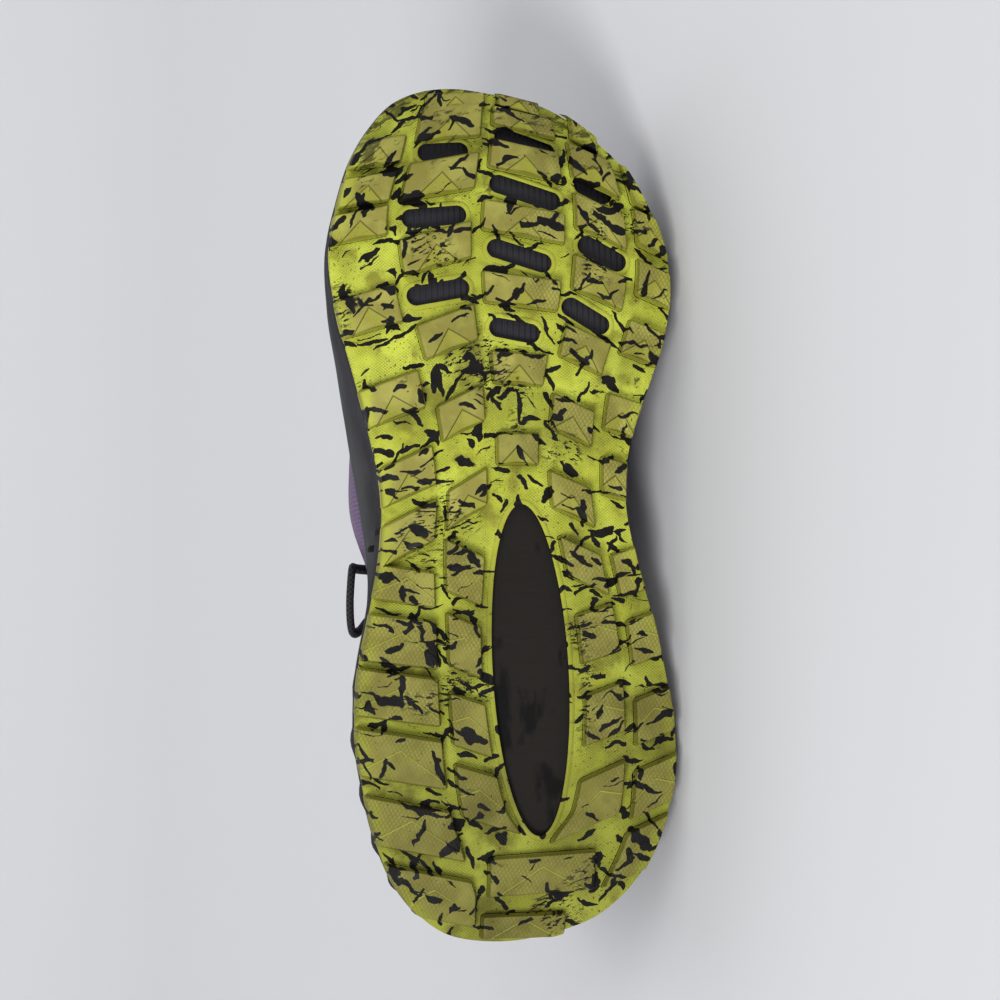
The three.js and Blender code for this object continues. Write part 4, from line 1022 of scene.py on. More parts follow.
def lug_grid(lines, at, long, slant, heel):
    """The points of a lug, and each point's place on the lug's own axes with the lug's kind."""
    middle, half = at * LENGTH, long * LENGTH / 2
    centre = (lines[0](middle) + lines[1](middle)) / 2

    def corner(line, end):
        # The slant moves the corner along, where the line may be elsewhere, so this is done three times
        x = middle + end * half
        for _ in range(3):
            y = line(np.clip(x, BACK + 1, FRONT - 1))
            x = middle + end * half + (y - centre) * math.tan(math.radians(slant))
        return float(np.clip(x, BACK + END_MARGIN, FRONT - END_MARGIN))

    near, far = ([corner(line, end) for line in lines] for end in (-1, 1))
    wide = abs(float(lines[1](middle) - lines[0](middle)))
    tall = 2 * half

    def steps(size):
        inner = np.linspace(SHOULDER[-1], size - SHOULDER[-1], INSIDE + 2)[1:-1]
        return np.concatenate([SHOULDER, inner, size - np.array(SHOULDER[::-1])])

    across, along = np.meshgrid(steps(wide), steps(tall))
    edge_a, edge_l = np.minimum(across, wide - across), np.minimum(along, tall - along)
    depth = np.minimum(edge_a, edge_l)
    # Corners are rounded: the square rings near a corner become arcs
    da, dl = np.clip(CORNER - edge_a, 0, None), np.clip(CORNER - edge_l, 0, None)
    length = np.hypot(da, dl)
    pull = np.where(length > 1e-6, np.maximum(da, dl) / np.maximum(length, 1e-6), 1)

    def rounded(place, size, past):
        arc = np.where(place < size / 2, CORNER - past * pull, size - CORNER + past * pull)
        return np.where(past > 0, arc, place)

    s, t = rounded(across, wide, da) / wide, rounded(along, tall, dl) / tall
    xa, xb = near[0] + (far[0] - near[0]) * t, near[1] + (far[1] - near[1]) * t
    ya, yb = lines[0](xa), lines[1](xb)
    x, y = xa + (xb - xa) * s, ya + (yb - ya) * s
    x = np.clip(x, BACK + POINT_MARGIN_X, FRONT - POINT_MARGIN_X)
    y = np.clip(y, inner_y(x) + POINT_MARGIN_Y, outer_y(x) - POINT_MARGIN_Y)
    rise = np.interp(depth, SHOULDER, SHOULDER_RISE)
    u, v = (s - 0.5) * wide, (t - 0.5) * tall
    notch = NOTCH_TIP - NOTCH_SLOPE * np.abs(u) - v
    inside = depth > SHOULDER[-1] - 0.01
    relief = 0 if heel else np.clip(notch * NOTCH_FALL, 0, NOTCH_DEPTH) * inside
    z = tread_height(x, y) + LUG_HEIGHT * (1 - rise) + relief
    kind = np.full_like(u, HEEL_LUG if heel else FORE_LUG)
    return np.stack([x, y, z], axis=-1), np.stack([u / 1000, v / 1000, kind], axis=-1)


def all_lugs():
    grids = []
    for low, high, slant, long, places in LUGS:
        lines = [groove_line(low, -1), groove_line(high, 1)]
        for at in places:
            turn = np.interp(at, (places[0], places[-1] + 1e-9), slant)
            grids.append(lug_grid(lines, at, long, turn, at < HEEL_PART))
    for at, long, low, high, slant in CROSS_LUGS:
        lines = [lambda x, y=low: y * HALF_BALL + 0 * x, lambda x, y=high: y * HALF_BALL + 0 * x]
        grids.append(lug_grid(lines, at, long, slant, at < HEEL_PART))
    return grids


# %% Lugs, and the lips round the windows
LIP = 0.55

# Across a lip: how far out from the window, and how far up from the slab
LIP_PROFILE = [(-0.1, 0.6), (-0.1, -LIP * 0.7), (0.25, -LIP), (0.9, -LIP), (1.4, -LIP * 0.5), (1.6, 0.6)]


def lip_rings(outlines):
    """A rounded lip that frames each window."""
    for ring in outlines:
        centre = ring.mean(axis=0)
        along = np.roll(ring, -1, axis=0) - np.roll(ring, 1, axis=0)
        out = np.stack([along[:, 1], -along[:, 0]], axis=1)
        out /= np.maximum(np.linalg.norm(out, axis=1, keepdims=True), 1e-9)
        out *= np.sign(((ring - centre) * out).sum(axis=1).mean())
        rows = []
        for away, drop in LIP_PROFILE:
            xy = ring + out * away
            rows.append(np.column_stack([xy, underside(xy[:, 0], xy[:, 1]) + drop]))
        yield np.stack(rows, axis=1)


def outsole():
    base = tread_base()
    points, faces, own, start = [], [], [], 0
    grids = [(grid, place, False) for grid, place in all_lugs()]
    grids += [(grid, np.zeros_like(grid), True) for grid in lip_rings(WINDOW_OUTLINES)]
    for grid, place, closed in grids:
        rows, columns = grid.shape[:2]
        points.append(grid.reshape(-1, 3))
        own.append(place.reshape(-1, 3))
        faces += grid_faces(rows, columns, closed, closed, start=start)
        start += rows * columns
    lugs = make("lugs", np.concatenate(points), faces, [RUBBER_FINISH], lug=np.concatenate(own))
    tidy_mesh(lugs)
    work = bmesh.new()
    work.from_mesh(base.data)
    work.from_mesh(lugs.data)
    work.to_mesh(base.data)
    work.free()
    bpy.data.objects.remove(lugs)
    sharpen(base, 38)
    hand_in(base, "outsole_rubber", "outsole")


outsole()

# %% [markdown]
# ### Foam
# The midsole is dark grey foam. Its skin is soft and matt, creased by walking, and dusty. Where it
# shows in the windows of the forefoot it has fine ribs, and in the heel window brown stains.

# %% The finish of the midsole
FOAM = "#343236"
FOAM_DARK = "#242226"
# The colour of the painted highlight high on the wall
FOAM_HIGHLIGHT = "#515553"
# The colour of the painted shade beside the tread
FOAM_SHADE = "#1a1718"
WINDOW_FOAM = "#2e2d31"
HEEL_FOAM = "#1d1a17"
# Brown stains in the heel window, and the painted shade in the slits
STAIN_AND_SHADE = "#0b0a0a"
RIB_PITCH = 1.9

# Two slits in the inner wall, painted black as the shade in them: x and z of their middles, half width and
# half height, and lean
SLITS = [(134.3, 17.0), (128.7, 23.4)]
SLIT = (1.1, 4.0)
SLIT_LEAN = 0.2


def slit(tree, at, x, z):
    """1 inside an upright ellipse on the inner wall, 0 outside it."""
    up = minus(tree, at["Z"], z * MM)
    along = plus(tree, minus(tree, at["X"], x * MM), times(tree, up, SLIT_LEAN))
    shares = (calc(tree, "DIVIDE", length, half * MM) for length, half in zip((along, up), SLIT))
    away = root_of_squares(tree, *shares)
    return times(tree, fade(tree, away, 1.15, 0.85), calc(tree, "LESS_THAN", at["Y"], 0.0))


def foam_finish():
    material, tree, shader = new_material("moulded_foam", 0.75, 0.12)
    place = attribute(tree, "shoe")
    at = split(tree, place)

    # The wall gets a painted highlight towards the rim and painted shade, nearly black, beside the tread
    cloud = noise(tree, stretched(tree, place, (18, 18, 9)), 5.0)
    wall = mix(tree, fade(tree, cloud, 0.35, 0.7), FOAM, FOAM_DARK)
    wall = mix(tree, fade(tree, at["Z"], 19 * MM, 29 * MM, 0.0, 0.4), wall, FOAM_HIGHLIGHT)
    wall = mix(tree, fade(tree, at["Z"], 15 * MM, 12 * MM, 0.0, 0.8), wall, FOAM_SHADE)
    # The slits are gaps in the wall, painted black as the shade inside them
    for x, z in SLITS:
        wall = mix(tree, slit(tree, at, x, z), wall, STAIN_AND_SHADE)

    stains = fade(tree, noise(tree, stretched(tree, place, (22, 9, 9), 0, 4), 5.0, 0.3), 0.5, 0.6)
    fore = fade(tree, at["X"], 150 * MM, 160 * MM)
    below = mix(tree, fore, mix(tree, stains, HEEL_FOAM, STAIN_AND_SHADE), WINDOW_FOAM)
    in_window = calc(tree, "LESS_THAN", attribute(tree, "rise"), WINDOW_LIMIT)
    tree.links.new(mix(tree, in_window, wall, below), shader.inputs["Base Color"])
    ribs = times(tree, waves(tree, place, RIB_PITCH, "Y"), in_window, fore)
    creases = noise(tree, stretched(tree, place, (3, 14, 1.4), 0, 6), 4.0)
    bumped(tree, shader, creases, 0.8, 0.5, bumped(tree, shader, ribs, 0.5, 0.9))
    return material


FOAM_FINISH = foam_finish()

# %% [markdown]
# ## The midsole
# A loft round the outline, from the tread to the rim, then over the rim and down into the cup that the
# upper and insole stand in. It is closed below and in the cup. Slanted ribs stand on its wall on both
# sides of the heel.

# %% The midsole as one closed loft
RIB_ZONES = ((0.35, 1.15, 5), (5.15, 5.95, 5))
RIB_OUT = 1.0
RIB_SLANT = 3
WALL_RISES = np.concatenate([np.linspace(0, 0.9, 26), (0.94, 0.975, 1.0)])

# Over the rim: how far in from its outer edge and how far down. Down into the cup: the same from the
# rim's inner edge.
RIM_PROFILE = [(0.7, -0.25), (3.2, -0.35), (5.8, -0.2), (RIM_OUT + RIM_IN, 0)]
CUP_PROFILE = [(0.3, 0.8), (1.0, CUP_DEPTH - 1), (1.6, CUP_DEPTH)]
MIDSOLE_SPANS = 40


def side_out(rise, x, angle):
    """How far the wall stands out from the edge of the tread, at a rise of 0 below to 1 at the rim."""
    lean = (RIM_OUT - rim_inset(x, angle)) * smooth(rise, 0.15, 1)
    turn = np.mod(angle, 2 * math.pi)
    rib = np.zeros_like(turn)
    for low, high, count in RIB_ZONES:
        inside = smooth(turn, low - 0.05, low + 0.05) * (1 - smooth(turn, high - 0.05, high + 0.05))
        wave = np.cos((turn - low) / (high - low) * count * 2 * math.pi - rise * RIB_SLANT)
        rib = np.maximum(rib, np.maximum(0, wave) * inside)
    return column(SIDE, rise, "out") + lean + rib * RIB_OUT * bump(rise, 0.25, 0.2)


def ring(angles, out, height):
    """Points round the sole, out from its edge. Their height depends on y and on x of the edge."""
    points = outline(angles, out)
    points[:, 2] = height(points[:, 1], outline(angles)[:, 0])
    return points


MIDSOLE_STATIONS = 360


def filled_cap(edge, height, up, spans, start):
    """Points and faces across a ring of an even number of points, from the heel to the toe."""
    half = len(edge) // 2
    a = edge[:half + 1]
    b = np.concatenate([edge[:1], edge[half:][::-1]])
    t = np.linspace(0, 1, spans + 1)[None, :, None]
    grid = a[:, None, :] * (1 - t) + b[:, None, :] * t
    grid[:, 1:-1, 2] = height(grid[..., 0], grid[..., 1])[:, 1:-1]
    faces = grid_faces(half + 1, spans + 1, start=start)
    return grid.reshape(-1, 3), [f if up else f[::-1] for f in faces]


def loft(rings, low_height, high_height, spans):
    """Rings joined into a wall, closed by a cap at either end."""
    n = len(rings[0])
    faces = [f[::-1] for f in grid_faces(len(rings), n, loop_columns=True)]
    start = len(rings) * n
    low, low_faces = filled_cap(rings[0], low_height, False, spans, start)
    high, high_faces = filled_cap(rings[-1], high_height, True, spans, start + len(low))
    return np.concatenate([*rings, low, high]), faces + low_faces + high_faces


def midsole():
    angles = np.linspace(0, 2 * math.pi, MIDSOLE_STATIONS + 1)[:-1]
    edge_x = outline(angles)[:, 0]

    def base(x, y):
        return underside(x, y) + RUBBER + GAP

    def side(rise):
        def height(y, at):
            return base(at, np.clip(y, inner_y(at), outer_y(at))) * (1 - rise) + rim_height(at) * rise
        return ring(angles, side_out(rise, edge_x, angles), height)

    def bed(inset, depth):
        return ring(angles, -rim_inset(edge_x, angles) - inset, lambda y, at: rim_height(at) - depth)

    rings = [side(rise) for rise in WALL_RISES]
    rings += [bed(inset - RIM_OUT, depth) for inset, depth in RIM_PROFILE]
    rings += [bed(inset + RIM_IN, depth) for inset, depth in CUP_PROFILE]
    points, faces = loft(rings, base, lambda x, y: footbed(x), MIDSOLE_SPANS)
    piece = make("midsole_foam", points, faces, [FOAM_FINISH])
    tidy_mesh(piece)
    sharpen(piece, 50)
    hand_in(piece, "midsole_foam", "midsole")


midsole()

# %% [markdown]
# ### Knitted mesh, film and lining
# The upper is an open mesh over a lining. Overlays are thin matt film, welded on. A mesh is drawn as
# two sets of crossing threads, and the film gets only a fine grain and some dust.

# %% The finishes of the upper
MESH = "#744a82"
MESH_DARK = "#472f57"
FILM = "#323136"
FILM_DUST = "#5a5550"
LINING = "#2f2c33"
LINING_DARK = "#151417"
TONGUE_CLOTH = "#35323a"
TONGUE_DARK = "#19181c"

# A noise much finer than the threads frays them
FRAY = 0.008
FRAY_REACH = 0.3


def cloth_finish(name, colour_a, colour_b, thread_mm, on="shoe", across="Z"):
    """Two sets of threads that cross. on names the coordinates that the threads follow."""
    material, tree, shader = new_material(name, 0.9, 0.2)
    threads = attribute(tree, on)
    frayed = bent(tree, threads, FRAY, FRAY_REACH, 11)
    weave = times(tree, *(waves(tree, frayed, thread_mm, direction) for direction in ("X", across)))
    cloud = noise(tree, stretched(tree, attribute(tree, "shoe"), 25), 4.0)
    colour = mix(tree, fade(tree, weave, 0.05, 0.55), colour_b, colour_a)
    colour = mix(tree, fade(tree, cloud, 0.45, 0.75, 0.0, 0.35), colour, colour_b)
    if on == "cloth":
        # A strip of film covers the mesh along the sole
        foot = fade(tree, split(tree, threads)["Y"], 4.2 * MM, 3.6 * MM)
        colour = mix(tree, foot, colour, FILM)
    tree.links.new(colour, shader.inputs["Base Color"])
    bumped(tree, shader, weave, thread_mm * 0.35, 0.8)
    shader.inputs["Sheen Weight"].default_value = 0.2
    shader.inputs["Sheen Roughness"].default_value = 0.5
    return material


def film_finish():
    material, tree, shader = new_material("welded_film", 0.55, 0.4)
    place = attribute(tree, "shoe")
    dust = fade(tree, noise(tree, stretched(tree, place, (14, 14, 6)), 6.0), 0.5, 0.8, 0.0, 0.5)
    tree.links.new(mix(tree, dust, FILM, FILM_DUST), shader.inputs["Base Color"])
    bumped(tree, shader, noise(tree, stretched(tree, place, 0.9), 3.0), 0.1, 0.5)
    return material


MESH_FINISH = cloth_finish("knitted_mesh", MESH, MESH_DARK, 1.25, on="cloth", across="Y")
LINING_FINISH = cloth_finish("brushed_lining", LINING, LINING_DARK, 1.1)
TONGUE_FINISH = cloth_finish("tongue_mesh", TONGUE_CLOTH, TONGUE_DARK, 1.8)
FILM_FINISH = film_finish()

# %% [markdown]
# ## The skin of the upper
# A foot's shape is a curve in every section. Each section starts on the rim of the midsole and ends at
# the edge of the collar or the throat, with one cubic curve between. Moving along the surface's own
# normal gives the inside, the overlays and the padding.

# %% The skin function
NORMAL_STEP = 0.03
PAD_FADE = (0.34, 0.47)
PAD_RISE = (0.45, 0.75)
PAD_THIN = 0.55


def carried(name, sign=1):
    """A column of the sections by angle, carried on past both ends, so that the sides meet smoothly."""
    at = np.arccos(1 - 2 * SECTIONS["at"])
    value = SECTIONS[name]
    return {
        "at": np.concatenate([[-at[1]], at, [2 * math.pi - at[-2]]]),
        "value": np.concatenate([[sign * value[1]], value, [sign * value[-2]]]),
    }


CURVES = {name: carried(name, -1 if name == "half" else 1) for name in SECTIONS if name != "at"}


def skin_point(angle, rise):
    """A point of the outside of the upper: rise is 0 at the midsole and 1 at the collar or throat."""
    turn = np.mod(angle, 2 * math.pi)
    side = np.where(turn <= math.pi, -1.0, 1.0)
    folded = np.where(side < 0, turn, 2 * math.pi - turn)
    value = {name: column(curve, folded, "value") for name, curve in CURVES.items()}
    at = outline(angle)
    foot = outline(angle, -rim_inset(at[..., 0], angle))
    foot[..., 2] = rim_height(at[..., 0]) + GAP
    x = BACK + value["edge"] * LENGTH
    share = share_of(x)
    centre = (inner_y(x) + outer_y(x)) / 2 + RIDGE_SHIFT * BALL_WIDTH * smooth(share, 0.3, 0.66)
    edge = np.stack([x, centre + side * value["half"] * BALL_WIDTH, rim_height(x) + value["height"]], axis=-1)
    tall = edge[..., 2] - foot[..., 2]
    run = np.hypot(edge[..., 0] - foot[..., 0], edge[..., 1] - foot[..., 1])
    out = outwards(angle)
    at_arch = np.clip((share_of(at[..., 0]) - ARCH_BULGE["at"]) / ARCH_BULGE["half"], -1, 1)
    swell = value["swell"] + np.where(side < 0, ARCH_BULGE["swell"] * hill(at_arch), 0)
    lower = foot + out * (swell * tall)[..., None]
    lower[..., 2] += value["rise"] * tall
    upper = edge + out * (value["over"] * run)[..., None]
    upper[..., 2] -= value["under"] * tall
    t = np.asarray(rise, float)[..., None]
    return (1 - t) ** 3 * foot + 3 * (1 - t) ** 2 * t * lower + 3 * (1 - t) * t**2 * upper + t**3 * edge


def skin(angle, rise, lift=0.0):
    """A point of the outside, lifted off the surface along its normal."""
    angle, rise, lift = np.broadcast_arrays(*(np.asarray(value, float) for value in (angle, rise, lift)))
    around = skin_point(angle + NORMAL_STEP, rise) - skin_point(angle - NORMAL_STEP, rise)
    above, below = np.minimum(1, rise + NORMAL_STEP), np.maximum(0, rise - NORMAL_STEP)
    up = skin_point(angle, above) - skin_point(angle, below)
    normal = np.cross(around, up)
    normal /= np.linalg.norm(normal, axis=-1, keepdims=True)
    return skin_point(angle, rise) + normal * lift[..., None]


def upper_wall(angle, rise):
    """The wall's thickness: foam swells it at the collar."""
    share = (1 - np.cos(angle)) / 2
    foam = (1 - smooth(share, *PAD_FADE)) * smooth(rise, *PAD_RISE) * (1 - PAD_THIN * smooth(rise, 0.9, 1))
    return WALL + COLLAR_PAD * foam


def angle_of(share, side):
    """The angle at a share of the length, on the inner side for a negative side."""
    return (1 if side < 0 else -1) * math.acos(1 - 2 * share)


# %% Eyelets
EYELET_FIRST = 0.80
EYELET_LAST = 0.50
EYELET_RISE = 0.90
PIN_SIDES = 24
PIN_REACH = WALL * 2.5


def eyelet_angle(i, side):
    return angle_of(EYELET_FIRST + (EYELET_LAST - EYELET_FIRST) * i / (EYELETS - 1), side)


def pins(radius, low, high):
    """Round pins through every eyelet, as one mesh."""
    points, faces = [], []
    turn = whole_turn(PIN_SIDES)
    for side in (-1, 1):
        for i in range(EYELETS):
            a, b = (skin(eyelet_angle(i, side), EYELET_RISE, lift) for lift in (low, high))
            axis = (b - a) / np.linalg.norm(b - a)
            u = np.cross(axis, [1, 0, 0])
            u /= np.linalg.norm(u)
            v = np.cross(axis, u)
            circle = radius * (np.cos(turn)[:, None] * u + np.sin(turn)[:, None] * v)
            faces += prism_faces(PIN_SIDES, len(points) * PIN_SIDES)
            points += [a + circle, b + circle]
    return np.concatenate(points), faces


def punched(piece):
    cutter = make("eyelet_cutter", *pins(EYELET / 2, -PIN_REACH, PIN_REACH), [FILM_FINISH])
    tidy_mesh(cutter)
    cut_away(piece, cutter)


# %% [markdown]
# ## The upper, its overlays, the tongue and the insole
# The upper is one hollow loop of mesh and lining, open at the throat and underneath. The overlays are
# cut from the same skin, lifted by their gap, with thinned edges as a welded film has.

# %% The upper
UPPER_STATIONS = 280
UPPER_LEVELS = 48
LIP_ROUND = 0.8
BELT_RISE = 0.35


def upper():
    angles = np.linspace(0, 2 * math.pi, UPPER_STATIONS + 1)[:-1]
    rises = np.linspace(0, 1, UPPER_LEVELS + 1)
    a, r = np.meshgrid(angles, rises, indexing="ij")
    outside = skin(a, r)
    lip_turn = np.linspace(0, math.pi, 7)[1:-1]
    edge_out, edge_in = skin(angles, 1.0), skin(angles, 1.0, -upper_wall(angles, 1.0))
    middle = (edge_out + edge_in) / 2
    up = skin_point(angles, np.ones_like(angles)) - skin_point(angles, np.full_like(angles, 0.97))
    up /= np.linalg.norm(up, axis=-1, keepdims=True)
    half = edge_out - middle
    size = np.linalg.norm(half, axis=-1, keepdims=True)
    lip = [middle + half * math.cos(t) + up * size * LIP_ROUND * math.sin(t) for t in lip_turn]
    inside = skin(a, r, -upper_wall(a, r))[:, ::-1]
    loop = np.concatenate([outside, np.stack(lip, axis=1), inside], axis=1)
    rows, columns = loop.shape[:2]
    # The outside is mesh, and the lip and the inside are lining
    pick = np.tile([0] * UPPER_LEVELS + [1] * (columns - UPPER_LEVELS), rows)
    # Lengths along the cloth: from the heel to the toe on both sides, and up from the sole
    belt = skin(angles, BELT_RISE)
    run = np.concatenate([[0], np.cumsum(np.linalg.norm(np.diff(belt, axis=0), axis=1))])
    run = np.where(angles <= math.pi, run, run[-1] + np.linalg.norm(belt[0] - belt[-1]) - run)
    climb = np.cumsum(np.linalg.norm(np.diff(loop, axis=1, prepend=loop[:, :1]), axis=2), axis=1)
    cloth = np.stack([np.repeat(run[:, None], columns, axis=1), climb, np.zeros_like(climb)], axis=2) / 1000
    piece = make("upper_mesh", loop.reshape(-1, 3), grid_faces(rows, columns, True, True),
                 [MESH_FINISH, LINING_FINISH], pick, cloth=cloth)
    tidy_mesh(piece)
    punched(piece)
    sharpen(piece, 60)
    hand_in(piece, "upper_mesh", "upper")


upper()

# %% The overlays
RING_STATIONS = 56
FILM_FOOT = 0.03
FILM_TOP = 0.985

# A film thins over its last few millimetres. A radian or a whole rise is about 60 mm of the skin.
MM_PER_UNIT = 60
FILM_EDGE = 1.2
FILM_THIN = 0.12
THROAT_SPAN = 0.4
LACE_END = 0.45

# Where a film ends along the shoe, the rise of its top there, how much higher its middle is, and a
# power that makes the curve between them fuller
TOE_CAP = {"end": 0.79, "rise": 0.10, "more": 0.26, "power": 0.6}
COUNTER = {"end": 0.40, "rise": 0.16, "more": 0.54, "power": 0.7}


def station(share):
    """The angle of the nearest station of the solids, so that the pieces end where theirs do."""
    step = 2 * math.pi / RING_STATIONS
    return round(math.acos(1 - 2 * share) / step) * step


def always(value):
    return lambda angle: np.full_like(angle, value)


def arched(film, middle, half):
    """The top of a film that ends at half an angle to both sides of its middle."""
    return lambda angle: film["rise"] + film["more"] * hill((angle - middle) / half) ** film["power"]


def throat_span(angle):
    """The length of the top part of the skin, THROAT_SPAN of the rise."""
    low = skin_point(angle, np.full_like(angle, 1 - THROAT_SPAN))
    return np.linalg.norm(low - skin_point(angle, np.ones_like(angle)), axis=-1)


def under_throat(angle, down_mm):
    """The rise some millimetres below the edge of the throat."""
    return 1 - down_mm / throat_span(angle) * THROAT_SPAN


def overlay(name, node_name, angles, low, high, levels, holes=False):
    """A film on the skin between two rises, each given as a function of the angle."""
    share = np.linspace(0, 1, levels)
    a = np.repeat(angles[:, None], levels, axis=1)
    lows, highs = low(angles)[:, None], high(angles)[:, None]
    r = lows + (highs - lows) * share[None, :]
    edge = np.minimum(share, 1 - share)[None, :] * (highs - lows)
    ends = np.minimum(angles - angles[0], angles[-1] - angles)[:, None]
    thick = OVERLAY * np.clip(np.minimum(edge, ends) * MM_PER_UNIT / FILM_EDGE, FILM_THIN, 1) ** 0.5
    loop = np.concatenate([skin(a, r, GAP + thick), skin(a, r, GAP)[:, ::-1]], axis=1)
    piece = make(name, loop.reshape(-1, 3), capped_faces(*loop.shape[:2]), [FILM_FINISH])
    tidy_mesh(piece)
    if holes:
        punched(piece)
    sharpen(piece, 40)
    hand_in(piece, "overlay_film", node_name)


def overlays():
    toe, heel, lace = station(TOE_CAP["end"]), station(COUNTER["end"]), station(LACE_END)
    overlay("toe_cap_film", "toe_cap", np.linspace(toe, 2 * math.pi - toe, 90), always(FILM_FOOT),
            arched(TOE_CAP, math.pi, math.pi - toe), 16)
    overlay("heel_counter_film", "heel_counter", np.linspace(-heel, heel, 120), always(FILM_FOOT),
            arched(COUNTER, 0.0, heel), 24)
    overlay("eyestay_film", "eyestay", np.linspace(lace, 2 * math.pi - lace, 160),
            lambda angle: under_throat(angle, EYESTAY), always(FILM_TOP), 12, True)


overlays()

# %% Rows of stitches along the overlays and the collar
STITCH = {"Pitch": 3.3 * MM, "Long": 2.5 * MM, "Thick": 0.55 * MM}
THREAD = "#4a464e"
THREAD_PALE = "#6b6570"
STITCH_LIFT = 0.12
SEAM_INSETS = (1.6, 3.8)
SEAM_END = 0.03
THROAT_SEAM = 0.968
COLLAR_SEAM = 0.93
COLLAR_END = 0.44
COLLAR_LIFT = 0.15


def thread_finish():
    material, tree, shader = new_material("stitch_thread", 0.6, 0.4)
    twist = waves(tree, stretched(tree, attribute(tree, "shoe"), 1000, 30), 0.4, "X")
    tree.links.new(mix(tree, twist, THREAD, THREAD_PALE), shader.inputs["Base Color"])
    return material


THREAD_FINISH = thread_finish()


def stitch_tree():
    """Puts a stitch at every pitch along the edges of a mesh."""
    tree = bpy.data.node_groups.new("stitch_row", "GeometryNodeTree")
    tree.is_modifier = True
    tree.interface.new_socket("Geometry", in_out="INPUT", socket_type="NodeSocketGeometry")
    for name in STITCH:
        tree.interface.new_socket(name, in_out="INPUT", socket_type="NodeSocketFloat")
    tree.interface.new_socket("Thread", in_out="INPUT", socket_type="NodeSocketMaterial")
    tree.interface.new_socket("Geometry", in_out="OUTPUT", socket_type="NodeSocketGeometry")
    given = node(tree, "NodeGroupInput").outputs
    curve = node(tree, "GeometryNodeMeshToCurve", {"Mesh": given["Geometry"]})
    points = node(tree, "GeometryNodeCurveToPoints", {
        "Curve": curve.outputs["Curve"], "Length": given["Pitch"]}, mode="LENGTH")
    turn = node(tree, "FunctionNodeAlignRotationToVector", {"Vector": points.outputs["Tangent"]}, axis="X")
    size = node(tree, "ShaderNodeCombineXYZ", {
        "X": given["Long"], "Y": given["Thick"], "Z": given["Thick"]})
    stitch = node(tree, "GeometryNodeMeshUVSphere", None, {"Segments": 8, "Rings": 6, "Radius": 0.5})
    placed_on = node(tree, "GeometryNodeInstanceOnPoints", {
        "Points": points.outputs["Points"], "Instance": stitch.outputs["Mesh"],
        "Rotation": turn.outputs["Rotation"], "Scale": size.outputs["Vector"]})
    real = node(tree, "GeometryNodeRealizeInstances", {"Geometry": placed_on.outputs["Instances"]})
    painted = node(tree, "GeometryNodeSetMaterial", {
        "Geometry": real.outputs["Geometry"], "Material": given["Thread"]})
    node(tree, "NodeGroupOutput", {"Geometry": painted.outputs["Geometry"]})
    return tree


def stitched(name, rows):
    """A piece of stitches along rows of points on the shoe's axes."""
    mesh = bpy.data.meshes.new(name)
    points, edges = [], []
    for row in rows:
        edges += [(len(points) + i, len(points) + i + 1) for i in range(len(row) - 1)]
        points += to_frame(row).tolist()
    mesh.from_pydata(points, edges, [])
    piece = bpy.data.objects.new(name, mesh)
    bpy.context.scene.collection.objects.link(piece)
    tree = stitch_tree()
    maker = piece.modifiers.new("stitches", "NODES")
    maker.node_group = tree
    sockets = {item.name: item.identifier for item in tree.interface.items_tree if item.in_out == "INPUT"}
    for key, value in STITCH.items():
        maker[sockets[key]] = value
    maker[sockets["Thread"]] = THREAD_FINISH
    bake(piece)
    sharpen(piece, 60)
    hand_in(piece, None)


def stitch_rows():
    """Two rows along the lower edge of the eyestay, one along the throat and one along the collar."""
    top = GAP + OVERLAY + STITCH_LIFT
    first = station(LACE_END) + SEAM_END
    throat = np.linspace(first, 2 * math.pi - first, 240)
    collar = np.linspace(-station(COLLAR_END), station(COLLAR_END), 260)
    seams = [skin(throat, under_throat(throat, EYESTAY - inset), top) for inset in SEAM_INSETS]
    seams += [skin(throat, THROAT_SEAM, top), skin(collar, COLLAR_SEAM, COLLAR_LIFT)]
    stitched("seam_stitches", seams)


stitch_rows()

# %% The tongue and the insole
TONGUE_EDGE = 0.86
TONGUE_TOP = 0.985
TONGUE_CROWN = 0.06
TONGUE_ACROSS = 15
TONGUE_MIDDLE = (TONGUE_ACROSS + 1) // 2

# The tip beyond the throat: how wide it is at a share of its reach, and how its two faces close
TIP_STEPS = np.linspace(0.08, 1, 14)
TIP_WIDTH = ((0, 0.3, 0.74, 0.9, 1), (1.0, 0.86, 0.87, 0.78, 0.56))
TIP_CLOSING = ((0.78, 1), (0, 0.72))


def tongue_rows(depth):
    """Rows across the tongue under the throat, at a depth below its outer face."""
    angles = np.linspace(station(0.96), station(0.54), 40)

    def below(side, rise):
        lift = -(upper_wall(angles, np.full_like(angles, rise)) + TONGUE_GAP + depth)
        return skin(side * angles, rise, lift)

    a, b = below(1, TONGUE_TOP), below(-1, TONGUE_TOP)
    width = np.linalg.norm(b - a, axis=-1)
    across = [below(1, TONGUE_EDGE)]
    for t in np.linspace(0, 1, TONGUE_ACROSS):
        row = a * (1 - t) + b * t
        row[:, 2] += TONGUE_CROWN * width * 4 * t * (1 - t)
        across.append(row)
    across.append(below(-1, TONGUE_EDGE))
    return np.stack(across, axis=1)


